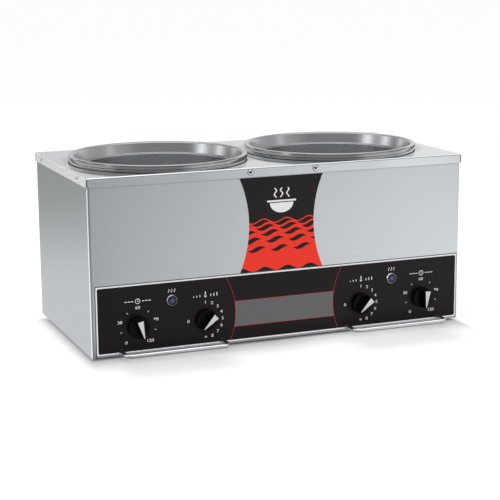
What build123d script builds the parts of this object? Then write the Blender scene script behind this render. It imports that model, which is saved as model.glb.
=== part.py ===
from build123d import *
import os

# Twin-well electric food warmer, millimetres, +Z up, front towards -Y.
# The origin is on the table, under the middle of the whole object's outline.

# Wells and insets, which set the size of the casing
WELL_R = 108.4  # inside radius of a well's wall
WELL_T = 0.8  # sheet of the drawn wells
SEAT_W = 9.6  # width of the step near a well's top that carries the inset's ledge
SEAT_DEPTH = 8.6  # depth of that step below the deck
LIP_W = 4.0  # width of a well's rolled lip
LIP_H = 1.8  # height of that lip above the deck
LIP_BEND_R = 1.3
WELL_CORNER_R = 22.0
UNDER_WELL = 27.7  # from the casing's bottom to a well's underside
INSET_T = 0.8
INSET_GAP = 2.4  # water gap between an inset's body and its well
COLLAR_GAP = 0.8  # between an inset's collar and the wall of the step
SEAT_CLEAR = 0.3  # between an inset's ledge and the step
RIM_OVERHANG = 1.5  # how far an inset's rim reaches past the well's lip
RIM_H = 6.1
RIM_LIFT = 0.4  # gap between the rim and the lip below it
RIM_BEND_R = 1.5
BRIM_BEND_R = 2.2  # where the rim turns down into the collar
COLLAR_FLARE = 1.8  # how much an inset's collar narrows on its way down to the ledge
LEDGE_BEND_R = 2.0
WATER_DEPTH = 12.0  # between the two bottoms
INSET_CORNER_R = 20.0
RING_GAP = 14.0  # between the two rims
SIDE_MARGIN = 16.0  # from a rim to the casing's side
FRONT_MARGIN = 10.0  # from a rim to the casing's front

# Casing of bent sheet
SHEET = 1.0
SHEET_GAP = 0.5  # room between sheets that slide into one another
DECK_GAP = 0.2  # between the deck's apron and the casing
CASE_H = 235.5
BEND_R = 2.5  # outside radius of the upright bends
FLANGE = 12.0  # turned-in flanges
APRON_H = 12.5
DECK_BEND_R = 2.0
CORNER_SEAM = 0.8
OPENING_GAP = 0.6  # between the deck's opening and the wall of a well

# Feet
FOOT_H = 4.0  # clear height under the casing
FOOT_R = 11.0
FOOT_TAPER = 1.5
FOOT_INSET = 35.0

# Front panel, label and dials
PANEL_MARGIN = 5.1  # to the casing's sides, on average
PANEL_X = 2.0  # the panel and all on it sit a little to the right
PANEL_LOW = 2.8
PANEL_H = 90.9
PANEL_T = 0.8
PANEL_CORNER_R = 2.0
BORDER = 1.8  # light border left round the overlay
OVERLAY_T = 0.3
LABEL_W = 120.6
LABEL_WAIST_W = 94.4
LABEL_WAIST_Z = 168.8  # height of the waist above the casing's bottom
LABEL_X = -2.0
LABEL_CLEAR = 1.2  # to the panel below and the apron above
LABEL_T = 0.3
DIAL_Z = 36.5  # all heights here are above the casing's bottom
DIAL_SPREAD = 93.9  # between the two dials of one pair
PAIR_OFFSET = 31.2  # from a well's axis out to its pair of dials
LAMP_Z = 67.8
TEMPERATURE_REST = 47.0  # rest angles of the pointers, clockwise from the top
LEFT_TIMER_REST = -13.0
RIGHT_TIMER_REST = 6.0

# Knobs and shafts
KNOB_R = 14.5
KNOB_H = 19.5
SKIRT_H = 7.0
SKIRT_EDGE_R = 1.2
KNOB_LIFT = 0.4  # running gap behind a knob
GRIP_L = 26.4
GRIP_WIDE = 10.0
GRIP_NARROW = 4.6
GRIP_EDGE_R = 1.2
POINTER_L = 23.4
POINTER_WIDE = 7.9
POINTER_NARROW = 1.0
POINTER_T = 0.6
SHAFT_R = 3.0
SHAFT_FLAT = 0.8
SHAFT_IN_KNOB = 9.0
SHAFT_IN_CONTROL = 9.0
SHAFT_FIT = 0.05
SHAFT_HOLE_GAP = 1.6

# Controls behind the panel
BRACKET_T = 1.2
EAR_W = 7.0
STUD_R = 1.5
STUD_FIT = 0.1
STUD_SPARE = 1.2
NUT_AF = 5.5
NUT_T = 2.4
THERMOSTAT_W = 30.0
THERMOSTAT_H = 28.0
THERMOSTAT_DEPTH = 15.0
TIMER_W = 44.0
TIMER_H = 46.0
TIMER_DEPTH = 30.0
BODY_EDGE_R = 2.0
TAB_W = 6.3
TAB_T = 0.8
TAB_L = 7.0
TAB_PITCH = 12.0

# Indicator lamps
BEZEL_W = 0.6  # how far a bezel reaches past its tube
BEZEL_T = 2.2
BEZEL_EDGE_R = 0.8
LAMP_TUBE_R = 7.2
LAMP_WALL = 0.7
LAMP_TUBE_L = 9.0  # behind the front sheet
LAMP_FIT = 0.1
LENS_T = 3.0
LENS_DOME = 1.2
LAMP_NUT_AF = 18.0
LAMP_NUT_T = 3.0
LAMP_CAP_L = 6.0

# Wire guards
ROD_R = 3.1
GUARD_REACH = 28.0  # from the casing's front to the middle of the rod
GUARD_L = 141.5
RIGHT_GUARD_SHIFT = 2.8  # the right guard sits this much further out
GUARD_BEND_R = 9.0
GUARD_LEG_IN = 27.0
ROD_LIFT = 0.2  # above the base plate
ROD_HOLE_GAP = 0.3
STRAP_T = 1.0
STRAP_W = 10.0
STRAP_IN = 20.0  # from the casing's front to the strap's middle
STRAP_EAR = 9.0

# Heating
ELEMENT_R = 62.0
ELEMENT_TUBE_R = 4.0
ELEMENT_GAP_ANGLE = 40.0
ELEMENT_LEG_L = 10.0
TERMINAL_R = 1.8
TERMINAL_L = 6.0
HEATER_CLEAR = 0.2
HEATER_PLATE_R = 80.0
HEATER_PLATE_T = 1.0
HEATER_RIM_H = 6.0
WELL_STUD_R = 3.0
WELL_NUT_AF = 10.0
WELL_NUT_T = 5.0
LIMIT_R = 8.0
LIMIT_H = 13.0
LIMIT_Y = -27.0
BULB_R = 3.0
BULB_L = 44.0
BULB_Y = 36.0
CAPILLARY_R = 1.0
CAPILLARY_BEND_R = 6.0
CAPILLARY_DROP = 14.0  # from a bulb's end out to where its tube turns down
CAPILLARY_Z = 8.0
HOLE_GAP = 1.2  # room round what passes through a heater plate
INSULATION_T = 12.0
INSULATION_CLEAR = 0.4
BAY_DEPTH = 64.0  # depth of the space kept free for the controls
BAY_CLEAR = 6.0

# Mains entry at the rear
GLAND_SIDE = 72.0  # from the casing's side
GLAND_Z = 42.0
GLAND_AF = 20.0
GLAND_HEX_T = 6.0
GLAND_DOME_L = 9.0
GLAND_DOME_TAPER = 18.0  # degrees
GLAND_TUBE_R = 7.0
GLAND_BORE_R = 4.0
GLAND_FIT = 0.1
GLAND_INSIDE_L = 9.0
GLAND_NUT_T = 4.0
BLOCK_W = 44.0
BLOCK_D = 22.0
BLOCK_H = 16.0
BLOCK_WAYS = 3
BLOCK_WAY_PITCH = 9.7
BLOCK_WAY_W = 7.0
BLOCK_WAY_DEPTH = 8.0
BLOCK_WALL = 2.2
BLOCK_SCREW_PITCH = 32.0
BLOCK_REAR = 48.0  # from the casing's back to the block's middle

# Screws
SCREW_R = 1.6
SCREW_HEAD_R = 3.4
SCREW_HEAD_H = 1.9
SCREW_HEAD_TAPER = 12.0  # degrees
SCREW_SPARE = 4.0  # shank past the sheets it joins
SCREW_FIT = 0.2
DECK_SCREW_X = 47.0
DECK_SCREW_Y = 93.0
BASE_SCREW_Y = 62.0
BACK_SCREW_MARGIN = 28.0  # from the back's bottom and top
FOOT_SCREW_HEAD_R = 4.0
FOOT_RECESS = 2.4
VENT_L = 34.0
VENT_W = 4.0
VENT_PITCH = 12.0
VENT_ROWS = 5

# Places worked out from the sizes above
SEAT_R = WELL_R + SEAT_W
LIP_R = SEAT_R + LIP_W
RIM_R = LIP_R + RIM_OVERHANG
WELL_X = RIM_R + RING_GAP / 2
CASE_W = 2 * (WELL_X + RIM_R + SIDE_MARGIN)
CASE_D = 2 * (RIM_R + FRONT_MARGIN)
FACE = PANEL_T + OVERLAY_T  # panel and overlay together
KNOB_TOP = FACE + KNOB_LIFT + KNOB_H
FRONT_REACH = max(KNOB_TOP, GUARD_REACH + ROD_R)
REAR_REACH = GLAND_HEX_T + GLAND_DOME_L
MID_Y = (FRONT_REACH - REAR_REACH) / 2
FRONT = MID_Y - CASE_D / 2
BACK = MID_Y + CASE_D / 2
INNER_FRONT = FRONT + SHEET
BOTTOM = FOOT_H
BASE_LOW = BOTTOM + SHEET
BASE_TOP = BASE_LOW + SHEET
CASE_TOP = BOTTOM + CASE_H
DECK_TOP = CASE_TOP + SHEET
DECK_W = CASE_W + 2 * (SHEET + DECK_GAP)
DECK_D = CASE_D + 2 * (SHEET + DECK_GAP)
WELL_UNDER = BOTTOM + UNDER_WELL
WELL_FLOOR = WELL_UNDER + WELL_T
PAIR_X = WELL_X + PAIR_OFFSET
TEMPERATURE_X = PAIR_X - DIAL_SPREAD / 2
TIMER_X = PAIR_X + DIAL_SPREAD / 2
DIAL_LEVEL = BOTTOM + DIAL_Z
LAMP_LEVEL = BOTTOM + LAMP_Z
ROD_LEVEL = BASE_TOP + ROD_LIFT + ROD_R
PANEL_W = CASE_W - 2 * PANEL_MARGIN
PANEL_MID = BOTTOM + PANEL_LOW + PANEL_H / 2
OVERLAY_FACE = FRONT - FACE
ROD_HOLE_R = ROD_R + ROD_HOLE_GAP
SHAFT_HOLE_R = SHAFT_R + SHAFT_HOLE_GAP
LAMP_HOLE_R = LAMP_TUBE_R + LAMP_FIT
LAMP_BORE_R = LAMP_TUBE_R - LAMP_WALL
BEZEL_R = LAMP_TUBE_R + BEZEL_W
SCREW_HOLE_R = SCREW_R + SCREW_FIT
DECK_SCREW_Z = DECK_TOP - APRON_H / 2
ELEMENT_Z = WELL_UNDER - HEATER_CLEAR - ELEMENT_TUBE_R
PLATE_TOP = ELEMENT_Z - ELEMENT_TUBE_R - HEATER_CLEAR
PLATE_LOW = PLATE_TOP - HEATER_PLATE_T
BULB_Z = WELL_UNDER - HEATER_CLEAR - BULB_R
GLAND_X = CASE_W / 2 - GLAND_SIDE
GLAND_LEVEL = BOTTOM + GLAND_Z
THROUGH = 3 * SHEET  # depth of a cut that goes right through a sheet
SIDES = (("left", -1), ("right", 1))
CORNERS = [(sx, sy) for sx in (-1, 1) for sy in (-1, 1)]
PAIRS = [PANEL_X + s * PAIR_X for _, s in SIDES]
CONTROL_WIDTHS = ((TEMPERATURE_X, THERMOSTAT_W), (TIMER_X, TIMER_W))
CONTROLS = [(PANEL_X + s * x, w) for _, s in SIDES for x, w in CONTROL_WIDTHS]
STUDS = [(x + k * (w + EAR_W) / 2) for x, w in CONTROLS for k in (-1, 1)]
GUARDS = (("left", PAIRS[0]), ("right", PAIRS[1] + RIGHT_GUARD_SHIFT))
GUARD_LEGS = [x + k * GUARD_L / 2 for _, x in GUARDS for k in (-1, 1)]
FEET = [(sx * (CASE_W / 2 - FOOT_INSET), MID_Y + sy * (CASE_D / 2 - FOOT_INSET)) for sx, sy in CORNERS]

os.makedirs("parts", exist_ok=True)


def facing_front(x, z, y):
    """A plane square to the front, seen as from the front, with +X to the right and +Z up."""
    return Plane(origin=(x, y, z), x_dir=(1, 0, 0), z_dir=(0, -1, 0))


def facing_in(x, z, y):
    """The same plane seen from inside, for what is built towards the back."""
    return Plane(origin=(x, y, z), x_dir=(-1, 0, 0), z_dir=(0, 1, 0))


def well_section(side):
    """The upright half plane through a well's axis, with its zero on the deck."""
    return Plane(origin=(side * WELL_X, MID_Y, DECK_TOP), x_dir=(1, 0, 0), z_dir=(0, -1, 0))


def well_axis(side):
    return Axis((side * WELL_X, MID_Y, 0), (0, 0, 1))


def screws(planes, head_r, shank_l):
    """Pan-head screws, each with its seat on one of the planes."""
    with BuildPart() as group:
        for plane in planes:
            with BuildSketch(plane):
                Circle(head_r)
            extrude(amount=SCREW_HEAD_H, taper=SCREW_HEAD_TAPER)
            with BuildSketch(plane):
                Circle(SCREW_R)
            extrude(amount=-shank_l)
    return group


def nuts(planes, across_flats, thickness, hole_r):
    """Hexagon nuts, each with its seat on one of the planes."""
    with BuildPart() as group:
        for plane in planes:
            with BuildSketch(plane):
                RegularPolygon(across_flats / 2, 6, major_radius=False)
                Circle(hole_r, mode=Mode.SUBTRACT)
            extrude(amount=thickness)
    return group


def wedge(wide, narrow, length):
    """Corners of a long wedge with its wide end up."""
    top, bottom = length / 2, -length / 2
    return [(-wide / 2, top), (-narrow / 2, bottom), (narrow / 2, bottom), (wide / 2, top)]


# Where the screws through the deck's apron sit, one plane for each
apron_planes = []
for sx in (-1, 1):
    apron_planes.append(facing_front(sx * DECK_SCREW_X, DECK_SCREW_Z, MID_Y - DECK_D / 2))
    apron_planes.append(facing_in(sx * DECK_SCREW_X, DECK_SCREW_Z, MID_Y + DECK_D / 2))
    for sy in (-1, 1):
        seat = (sx * DECK_W / 2, MID_Y + sy * DECK_SCREW_Y, DECK_SCREW_Z)
        apron_planes.append(Plane(origin=seat, x_dir=(0, 1, 0), z_dir=(sx, 0, 0)))
APRON_GRIP = 2 * SHEET + DECK_GAP  # apron, gap and casing

# Screws that hold the back, seated on its outer face
FLANGE_MID = SHEET + (FLANGE - SHEET) / 2
back_heights = [BOTTOM + BACK_SCREW_MARGIN, BOTTOM + CASE_H / 2, CASE_TOP - BACK_SCREW_MARGIN]
back_planes = [facing_in(s * (CASE_W / 2 - FLANGE_MID), z, BACK) for _, s in SIDES for z in back_heights]

# Screws that hold the base, seated under the casing's flanges
base_places = [(x, FRONT + FLANGE_MID) for x in (-PAIR_X, 0, PAIR_X)]
base_places += [(x, BACK - SHEET - FLANGE_MID) for x in (-PAIR_X, 0, PAIR_X)]
base_places += [(sx * (CASE_W / 2 - FLANGE_MID), MID_Y + sy * BASE_SCREW_Y) for sx, sy in CORNERS]


def under(x, y, z):
    """A level plane that looks down."""
    return Plane(origin=(x, y, z), x_dir=(1, 0, 0), z_dir=(0, 0, -1))


# Wrapper: front and sides in one sheet, with flanges turned in at the rear and at the bottom
WRAP_D = CASE_D - SHEET  # the back lies over the rear flanges
with BuildPart() as wrapper:
    with BuildSketch(Plane.XY.offset(BOTTOM)):
        with Locations((0, MID_Y - SHEET / 2)):
            RectangleRounded(CASE_W, WRAP_D, BEND_R)
            RectangleRounded(CASE_W - 2 * SHEET, WRAP_D - 2 * SHEET, BEND_R - SHEET, mode=Mode.SUBTRACT)
        with Locations((0, BACK - SHEET)):
            Rectangle(CASE_W - 2 * FLANGE, 2 * THROUGH, mode=Mode.SUBTRACT)
    extrude(amount=CASE_H)
    with BuildSketch(Plane.XY.offset(BOTTOM)):
        with Locations((0, MID_Y - SHEET / 2)):
            RectangleRounded(CASE_W, WRAP_D, BEND_R)
        with Locations((0, MID_Y + FLANGE / 2)):
            Rectangle(CASE_W - 2 * FLANGE, CASE_D - FLANGE, mode=Mode.SUBTRACT)
    extrude(amount=SHEET)
    with BuildSketch(facing_front(0, 0, FRONT)):
        with Locations(*[(x, DIAL_LEVEL) for x, _ in CONTROLS]):
            Circle(SHAFT_HOLE_R)
        with Locations(*[(x, LAMP_LEVEL) for x in PAIRS]):
            Circle(LAMP_HOLE_R)
        with Locations(*[(x, ROD_LEVEL) for x in GUARD_LEGS]):
            Circle(ROD_HOLE_R)
    extrude(amount=-THROUGH, mode=Mode.SUBTRACT)
    for plane in apron_planes + back_planes:
        with BuildSketch(plane):
            Circle(SCREW_HOLE_R)
        extrude(amount=-2 * THROUGH, mode=Mode.SUBTRACT)
    for x, y in base_places:
        with BuildSketch(under(x, y, BOTTOM)):
            Circle(SCREW_HOLE_R)
        extrude(amount=-THROUGH, mode=Mode.SUBTRACT)
    for x in STUDS:
        with BuildSketch(facing_in(x, DIAL_LEVEL, INNER_FRONT)):
            Circle(STUD_R)
        extrude(amount=BRACKET_T + NUT_T + STUD_SPARE)
wrapper.part.label = "wrapper"
export_step(wrapper.part, "parts/wrapper.step")

# Back: a flat sheet over the rear flanges, turned in along its bottom edge
BACK_W = CASE_W - 2 * BEND_R
with BuildPart() as back_panel:
    with BuildSketch(facing_in(0, BOTTOM + CASE_H / 2, BACK - SHEET)):
        Rectangle(BACK_W, CASE_H)
    extrude(amount=SHEET)
    with BuildSketch(Plane.XY.offset(BOTTOM)):
        with Locations((0, BACK - SHEET - FLANGE / 2)):
            Rectangle(CASE_W - 2 * (FLANGE + SHEET_GAP), FLANGE)
    extrude(amount=SHEET)
    for plane in apron_planes + back_planes:
        with BuildSketch(plane):
            Circle(SCREW_HOLE_R)
        extrude(amount=-2 * THROUGH, mode=Mode.SUBTRACT)
    for x, y in base_places:
        with BuildSketch(under(x, y, BOTTOM)):
            Circle(SCREW_HOLE_R)
        extrude(amount=-THROUGH, mode=Mode.SUBTRACT)
    with BuildSketch(facing_in(GLAND_X, GLAND_LEVEL, BACK)):
        Circle(GLAND_TUBE_R + GLAND_FIT)
    extrude(amount=-THROUGH, mode=Mode.SUBTRACT)
back_panel.part.label = "back_panel"
export_step(back_panel.part, "parts/back_panel.step")

# Base plate: lies on the flanges, with vent slots under each well
BASE_W = CASE_W - 2 * (SHEET + SHEET_GAP)
BASE_D = CASE_D - 3 * SHEET - 2 * SHEET_GAP
BASE_MID = INNER_FRONT + SHEET_GAP + BASE_D / 2
strap_places = [(x + k * STRAP_EAR, FRONT + STRAP_IN) for x in GUARD_LEGS for k in (-1, 1)]
BLOCK_Y = BACK - BLOCK_REAR
block_places = [(GLAND_X + k * BLOCK_SCREW_PITCH / 2, BLOCK_Y) for k in (-1, 1)]
with BuildPart() as base_plate:
    with BuildSketch(Plane.XY.offset(BASE_LOW)):
        with Locations((0, BASE_MID)):
            RectangleRounded(BASE_W, BASE_D, BEND_R)
        with Locations((-WELL_X, MID_Y), (WELL_X, MID_Y)):
            with GridLocations(VENT_L + VENT_PITCH, VENT_PITCH, 2, VENT_ROWS):
                SlotOverall(VENT_L, VENT_W, mode=Mode.SUBTRACT)
        with Locations(*base_places, *FEET, *strap_places, *block_places):
            Circle(SCREW_HOLE_R, mode=Mode.SUBTRACT)
    extrude(amount=SHEET)
base_plate.part.label = "base_plate"
export_step(base_plate.part, "parts/base_plate.step")

# Deck: a flat top with its four edges bent down, open at the corner seams
with BuildPart() as top_deck:
    with BuildSketch(Plane.XY.offset(DECK_TOP - APRON_H)):
        with Locations((0, MID_Y)):
            Rectangle(DECK_W, DECK_D)
    extrude(amount=APRON_H)
    fillet(top_deck.faces().sort_by(Axis.Z)[-1].edges(), DECK_BEND_R)
    with BuildSketch(Plane.XY.offset(DECK_TOP - APRON_H)):
        with Locations((0, MID_Y)):
            Rectangle(DECK_W - 2 * SHEET, DECK_D - 2 * SHEET)
    extrude(amount=APRON_H - SHEET, mode=Mode.SUBTRACT)
    with BuildSketch(Plane.XY.offset(DECK_TOP - APRON_H)):
        with Locations((0, MID_Y)):
            with GridLocations(DECK_W - 2 * SHEET - CORNER_SEAM, DECK_D - SHEET, 2, 2):
                Rectangle(CORNER_SEAM, SHEET)
    extrude(amount=APRON_H - DECK_BEND_R, mode=Mode.SUBTRACT)
    with BuildSketch(Plane.XY.offset(DECK_TOP)):
        with Locations((-WELL_X, MID_Y), (WELL_X, MID_Y)):
            Circle(SEAT_R + WELL_T + OPENING_GAP)
    extrude(amount=-THROUGH, mode=Mode.SUBTRACT)
    for plane in apron_planes:
        with BuildSketch(plane):
            Circle(SCREW_HOLE_R)
        extrude(amount=-THROUGH / 2, mode=Mode.SUBTRACT)
top_deck.part.label = "top_deck"
export_step(top_deck.part, "parts/top_deck.step")

# Wells: drawn sheet with a rolled lip on the deck, a step for the inset and a welded stud below
WELL_LOW = WELL_FLOOR - DECK_TOP
for name, side in SIDES:
    with BuildPart() as well:
        with BuildSketch(well_section(side)):
            with BuildLine():
                FilletPolyline(
                    (LIP_R, 0),
                    (LIP_R, LIP_H),
                    (SEAT_R, LIP_H),
                    (SEAT_R, -SEAT_DEPTH),
                    (WELL_R, -SEAT_DEPTH),
                    (WELL_R, WELL_LOW),
                    (0, WELL_LOW),
                    radius=[LIP_BEND_R, LIP_BEND_R, LIP_BEND_R, LIP_BEND_R, WELL_CORNER_R],
                )
                offset(amount=WELL_T, side=Side.LEFT)
            make_face()
        revolve(axis=well_axis(side))
        with BuildSketch(under(side * WELL_X, MID_Y, WELL_UNDER)):
            Circle(WELL_STUD_R)
        extrude(amount=WELL_UNDER - PLATE_LOW + WELL_NUT_T + STUD_SPARE)
    well.part.label = f"{name}_well"
    export_step(well.part, f"parts/{name}_well.step")

# Insets: drawn sheet with a rolled rim, a collar, a ledge that sits on the well's step, and a body
INSET_R = WELL_R - INSET_GAP - INSET_T
COLLAR_R = SEAT_R - COLLAR_GAP - INSET_T
LEDGE_Z = SEAT_CLEAR + INSET_T - SEAT_DEPTH
RIM_LOW = LIP_H + RIM_LIFT
RIM_TOP = RIM_LOW + RIM_H
INSET_LOW = WELL_LOW + WATER_DEPTH + INSET_T
for name, side in SIDES:
    with BuildPart() as inset:
        with BuildSketch(well_section(side)):
            with BuildLine():
                FilletPolyline(
                    (RIM_R, RIM_LOW),
                    (RIM_R, RIM_TOP),
                    (COLLAR_R, RIM_TOP),
                    (COLLAR_R - COLLAR_FLARE, LEDGE_Z),
                    (INSET_R, LEDGE_Z),
                    (INSET_R, INSET_LOW),
                    (0, INSET_LOW),
                    radius=[RIM_BEND_R, BRIM_BEND_R, LEDGE_BEND_R, LEDGE_BEND_R, INSET_CORNER_R],
                )
                offset(amount=INSET_T, side=Side.LEFT)
            make_face()
        revolve(axis=well_axis(side))
    inset.part.label = f"{name}_inset"
    export_step(inset.part, f"parts/{name}_inset.step")

# Heating under each well: a bent tubular element, its clamping plate, the limit switch and the insulation
ELEMENT_HALF_GAP = ELEMENT_GAP_ANGLE / 2
LEG_PLACES = [Vector(0, -ELEMENT_R).rotate(Axis.Z, k * ELEMENT_HALF_GAP) for k in (-1, 1)]
BULB_END = BULB_L / 2 + CAPILLARY_DROP
for name, side in SIDES:
    centre = Vector(side * WELL_X, MID_Y)
    with BuildPart() as heater_element:
        with BuildLine(Plane(origin=(centre.X, centre.Y, ELEMENT_Z))) as turn:
            CenterArc((0, 0), ELEMENT_R, -90 + ELEMENT_HALF_GAP, 360 - ELEMENT_GAP_ANGLE)
        with BuildSketch(turn.line ^ 0):
            Circle(ELEMENT_TUBE_R)
        sweep(path=turn.line)
        for leg in LEG_PLACES:
            with Locations((centre.X + leg.X, centre.Y + leg.Y, ELEMENT_Z)):
                Sphere(ELEMENT_TUBE_R)
            with BuildSketch(under(centre.X + leg.X, centre.Y + leg.Y, ELEMENT_Z)):
                Circle(ELEMENT_TUBE_R)
            extrude(amount=ELEMENT_LEG_L)
            with BuildSketch(under(centre.X + leg.X, centre.Y + leg.Y, ELEMENT_Z - ELEMENT_LEG_L)):
                Circle(TERMINAL_R)
            extrude(amount=TERMINAL_L)
    heater_element.part.label = f"{name}_heater_element"
    export_step(heater_element.part, f"parts/{name}_heater_element.step")

    with BuildPart() as heater_plate:
        with BuildSketch(Plane.XY.offset(PLATE_LOW)):
            with Locations((centre.X, centre.Y)):
                Circle(HEATER_PLATE_R)
        extrude(amount=HEATER_PLATE_T + HEATER_RIM_H)
        with BuildSketch(Plane.XY.offset(PLATE_TOP)):
            with Locations((centre.X, centre.Y)):
                Circle(HEATER_PLATE_R - HEATER_PLATE_T)
        extrude(amount=HEATER_RIM_H, mode=Mode.SUBTRACT)
        with BuildSketch(Plane.XY.offset(PLATE_LOW)):
            with Locations((centre.X, centre.Y)):
                Circle(WELL_STUD_R + STUD_FIT)
                with Locations(*[(leg.X, leg.Y) for leg in LEG_PLACES]):
                    Circle(ELEMENT_TUBE_R + HOLE_GAP)
                with Locations((0, LIMIT_Y)):
                    Circle(LIMIT_R + HOLE_GAP)
                with Locations((side * BULB_END, BULB_Y)):
                    Circle(CAPILLARY_R + HOLE_GAP)
        extrude(amount=HEATER_PLATE_T, mode=Mode.SUBTRACT)
    heater_plate.part.label = f"{name}_heater_plate"
    export_step(heater_plate.part, f"parts/{name}_heater_plate.step")

    with BuildPart() as limit_switch:
        with BuildSketch(under(centre.X, centre.Y + LIMIT_Y, WELL_UNDER - HEATER_CLEAR)):
            Circle(LIMIT_R)
        extrude(amount=LIMIT_H)
        with BuildSketch(under(centre.X, centre.Y + LIMIT_Y, WELL_UNDER - HEATER_CLEAR - LIMIT_H)):
            with GridLocations(LIMIT_R, 0, 2, 1):
                Rectangle(TAB_T, TAB_W)
        extrude(amount=TAB_L)
    limit_switch.part.label = f"{name}_limit_switch"
    export_step(limit_switch.part, f"parts/{name}_limit_switch.step")

    INSULATION_LOW = WELL_FLOOR + WELL_CORNER_R
    INSULATION_TOP = DECK_TOP - SEAT_DEPTH - WELL_T - INSULATION_CLEAR
    INSULATION_R = WELL_R + WELL_T + INSULATION_CLEAR
    BAY_TOP = BOTTOM + PANEL_LOW + PANEL_H + BAY_CLEAR
    with BuildPart() as insulation:
        with BuildSketch(Plane.XY.offset(INSULATION_LOW)):
            with Locations((centre.X, centre.Y)):
                Circle(INSULATION_R + INSULATION_T)
                Circle(INSULATION_R, mode=Mode.SUBTRACT)
        extrude(amount=INSULATION_TOP - INSULATION_LOW)
        with BuildSketch(Plane.XY.offset(INSULATION_LOW)):
            with Locations((0, FRONT + BAY_DEPTH / 2)):
                Rectangle(CASE_W, BAY_DEPTH)
        extrude(amount=BAY_TOP - INSULATION_LOW, mode=Mode.SUBTRACT)
    insulation.part.label = f"{name}_insulation"
    export_step(insulation.part, f"parts/{name}_insulation.step")

nut_planes = [under(side * WELL_X, MID_Y, PLATE_LOW) for _, side in SIDES]
heater_nuts = nuts(nut_planes, WELL_NUT_AF, WELL_NUT_T, WELL_STUD_R + STUD_FIT)
heater_nuts.part.label = "heater_nuts"
export_step(heater_nuts.part, "parts/heater_nuts.step")

# Control panel plate with its light border, the black overlay on it and the waisted label above
with BuildPart() as control_panel:
    with BuildSketch(facing_front(PANEL_X, PANEL_MID, FRONT)):
        RectangleRounded(PANEL_W, PANEL_H, PANEL_CORNER_R)
    extrude(amount=PANEL_T)
    with BuildSketch(facing_front(0, 0, FRONT)):
        with Locations(*[(x, DIAL_LEVEL) for x, _ in CONTROLS]):
            Circle(SHAFT_HOLE_R)
        with Locations(*[(x, LAMP_LEVEL) for x in PAIRS]):
            Circle(LAMP_HOLE_R)
        with Locations(*[(x, ROD_LEVEL) for x in GUARD_LEGS]):
            Circle(ROD_HOLE_R)
    extrude(amount=PANEL_T, mode=Mode.SUBTRACT)
control_panel.part.label = "control_panel"
export_step(control_panel.part, "parts/control_panel.step")

with BuildPart() as panel_overlay:
    with BuildSketch(facing_front(PANEL_X, PANEL_MID, FRONT - PANEL_T)):
        RectangleRounded(PANEL_W - 2 * BORDER, PANEL_H - 2 * BORDER, PANEL_CORNER_R)
    extrude(amount=OVERLAY_T)
    with BuildSketch(facing_front(0, 0, FRONT - PANEL_T)):
        with Locations(*[(x, DIAL_LEVEL) for x, _ in CONTROLS]):
            Circle(SHAFT_HOLE_R)
        with Locations(*[(x, LAMP_LEVEL) for x in PAIRS]):
            Circle(LAMP_HOLE_R)
        with Locations(*[(x, ROD_LEVEL) for x in GUARD_LEGS]):
            Circle(ROD_HOLE_R)
    extrude(amount=OVERLAY_T, mode=Mode.SUBTRACT)
panel_overlay.part.label = "panel_overlay"
export_step(panel_overlay.part, "parts/panel_overlay.step")

LABEL_LOW = PANEL_LOW + PANEL_H + LABEL_CLEAR
LABEL_TOP = CASE_H + SHEET - APRON_H - LABEL_CLEAR
with BuildPart() as center_label:
    with BuildSketch(facing_front(LABEL_X, BOTTOM, FRONT)):
        with BuildLine():
            waist = LABEL_WAIST_W / 2
            right = ThreePointArc((LABEL_W / 2, LABEL_LOW), (waist, LABEL_WAIST_Z), (LABEL_W / 2, LABEL_TOP))
            left = ThreePointArc(right @ 1 - (LABEL_W, 0), (-waist, LABEL_WAIST_Z), right @ 0 - (LABEL_W, 0))
            Line(right @ 1, left @ 0)
            Line(left @ 1, right @ 0)
        make_face()
    extrude(amount=LABEL_T)
center_label.part.label = "center_label"
export_step(center_label.part, "parts/center_label.step")

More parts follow.
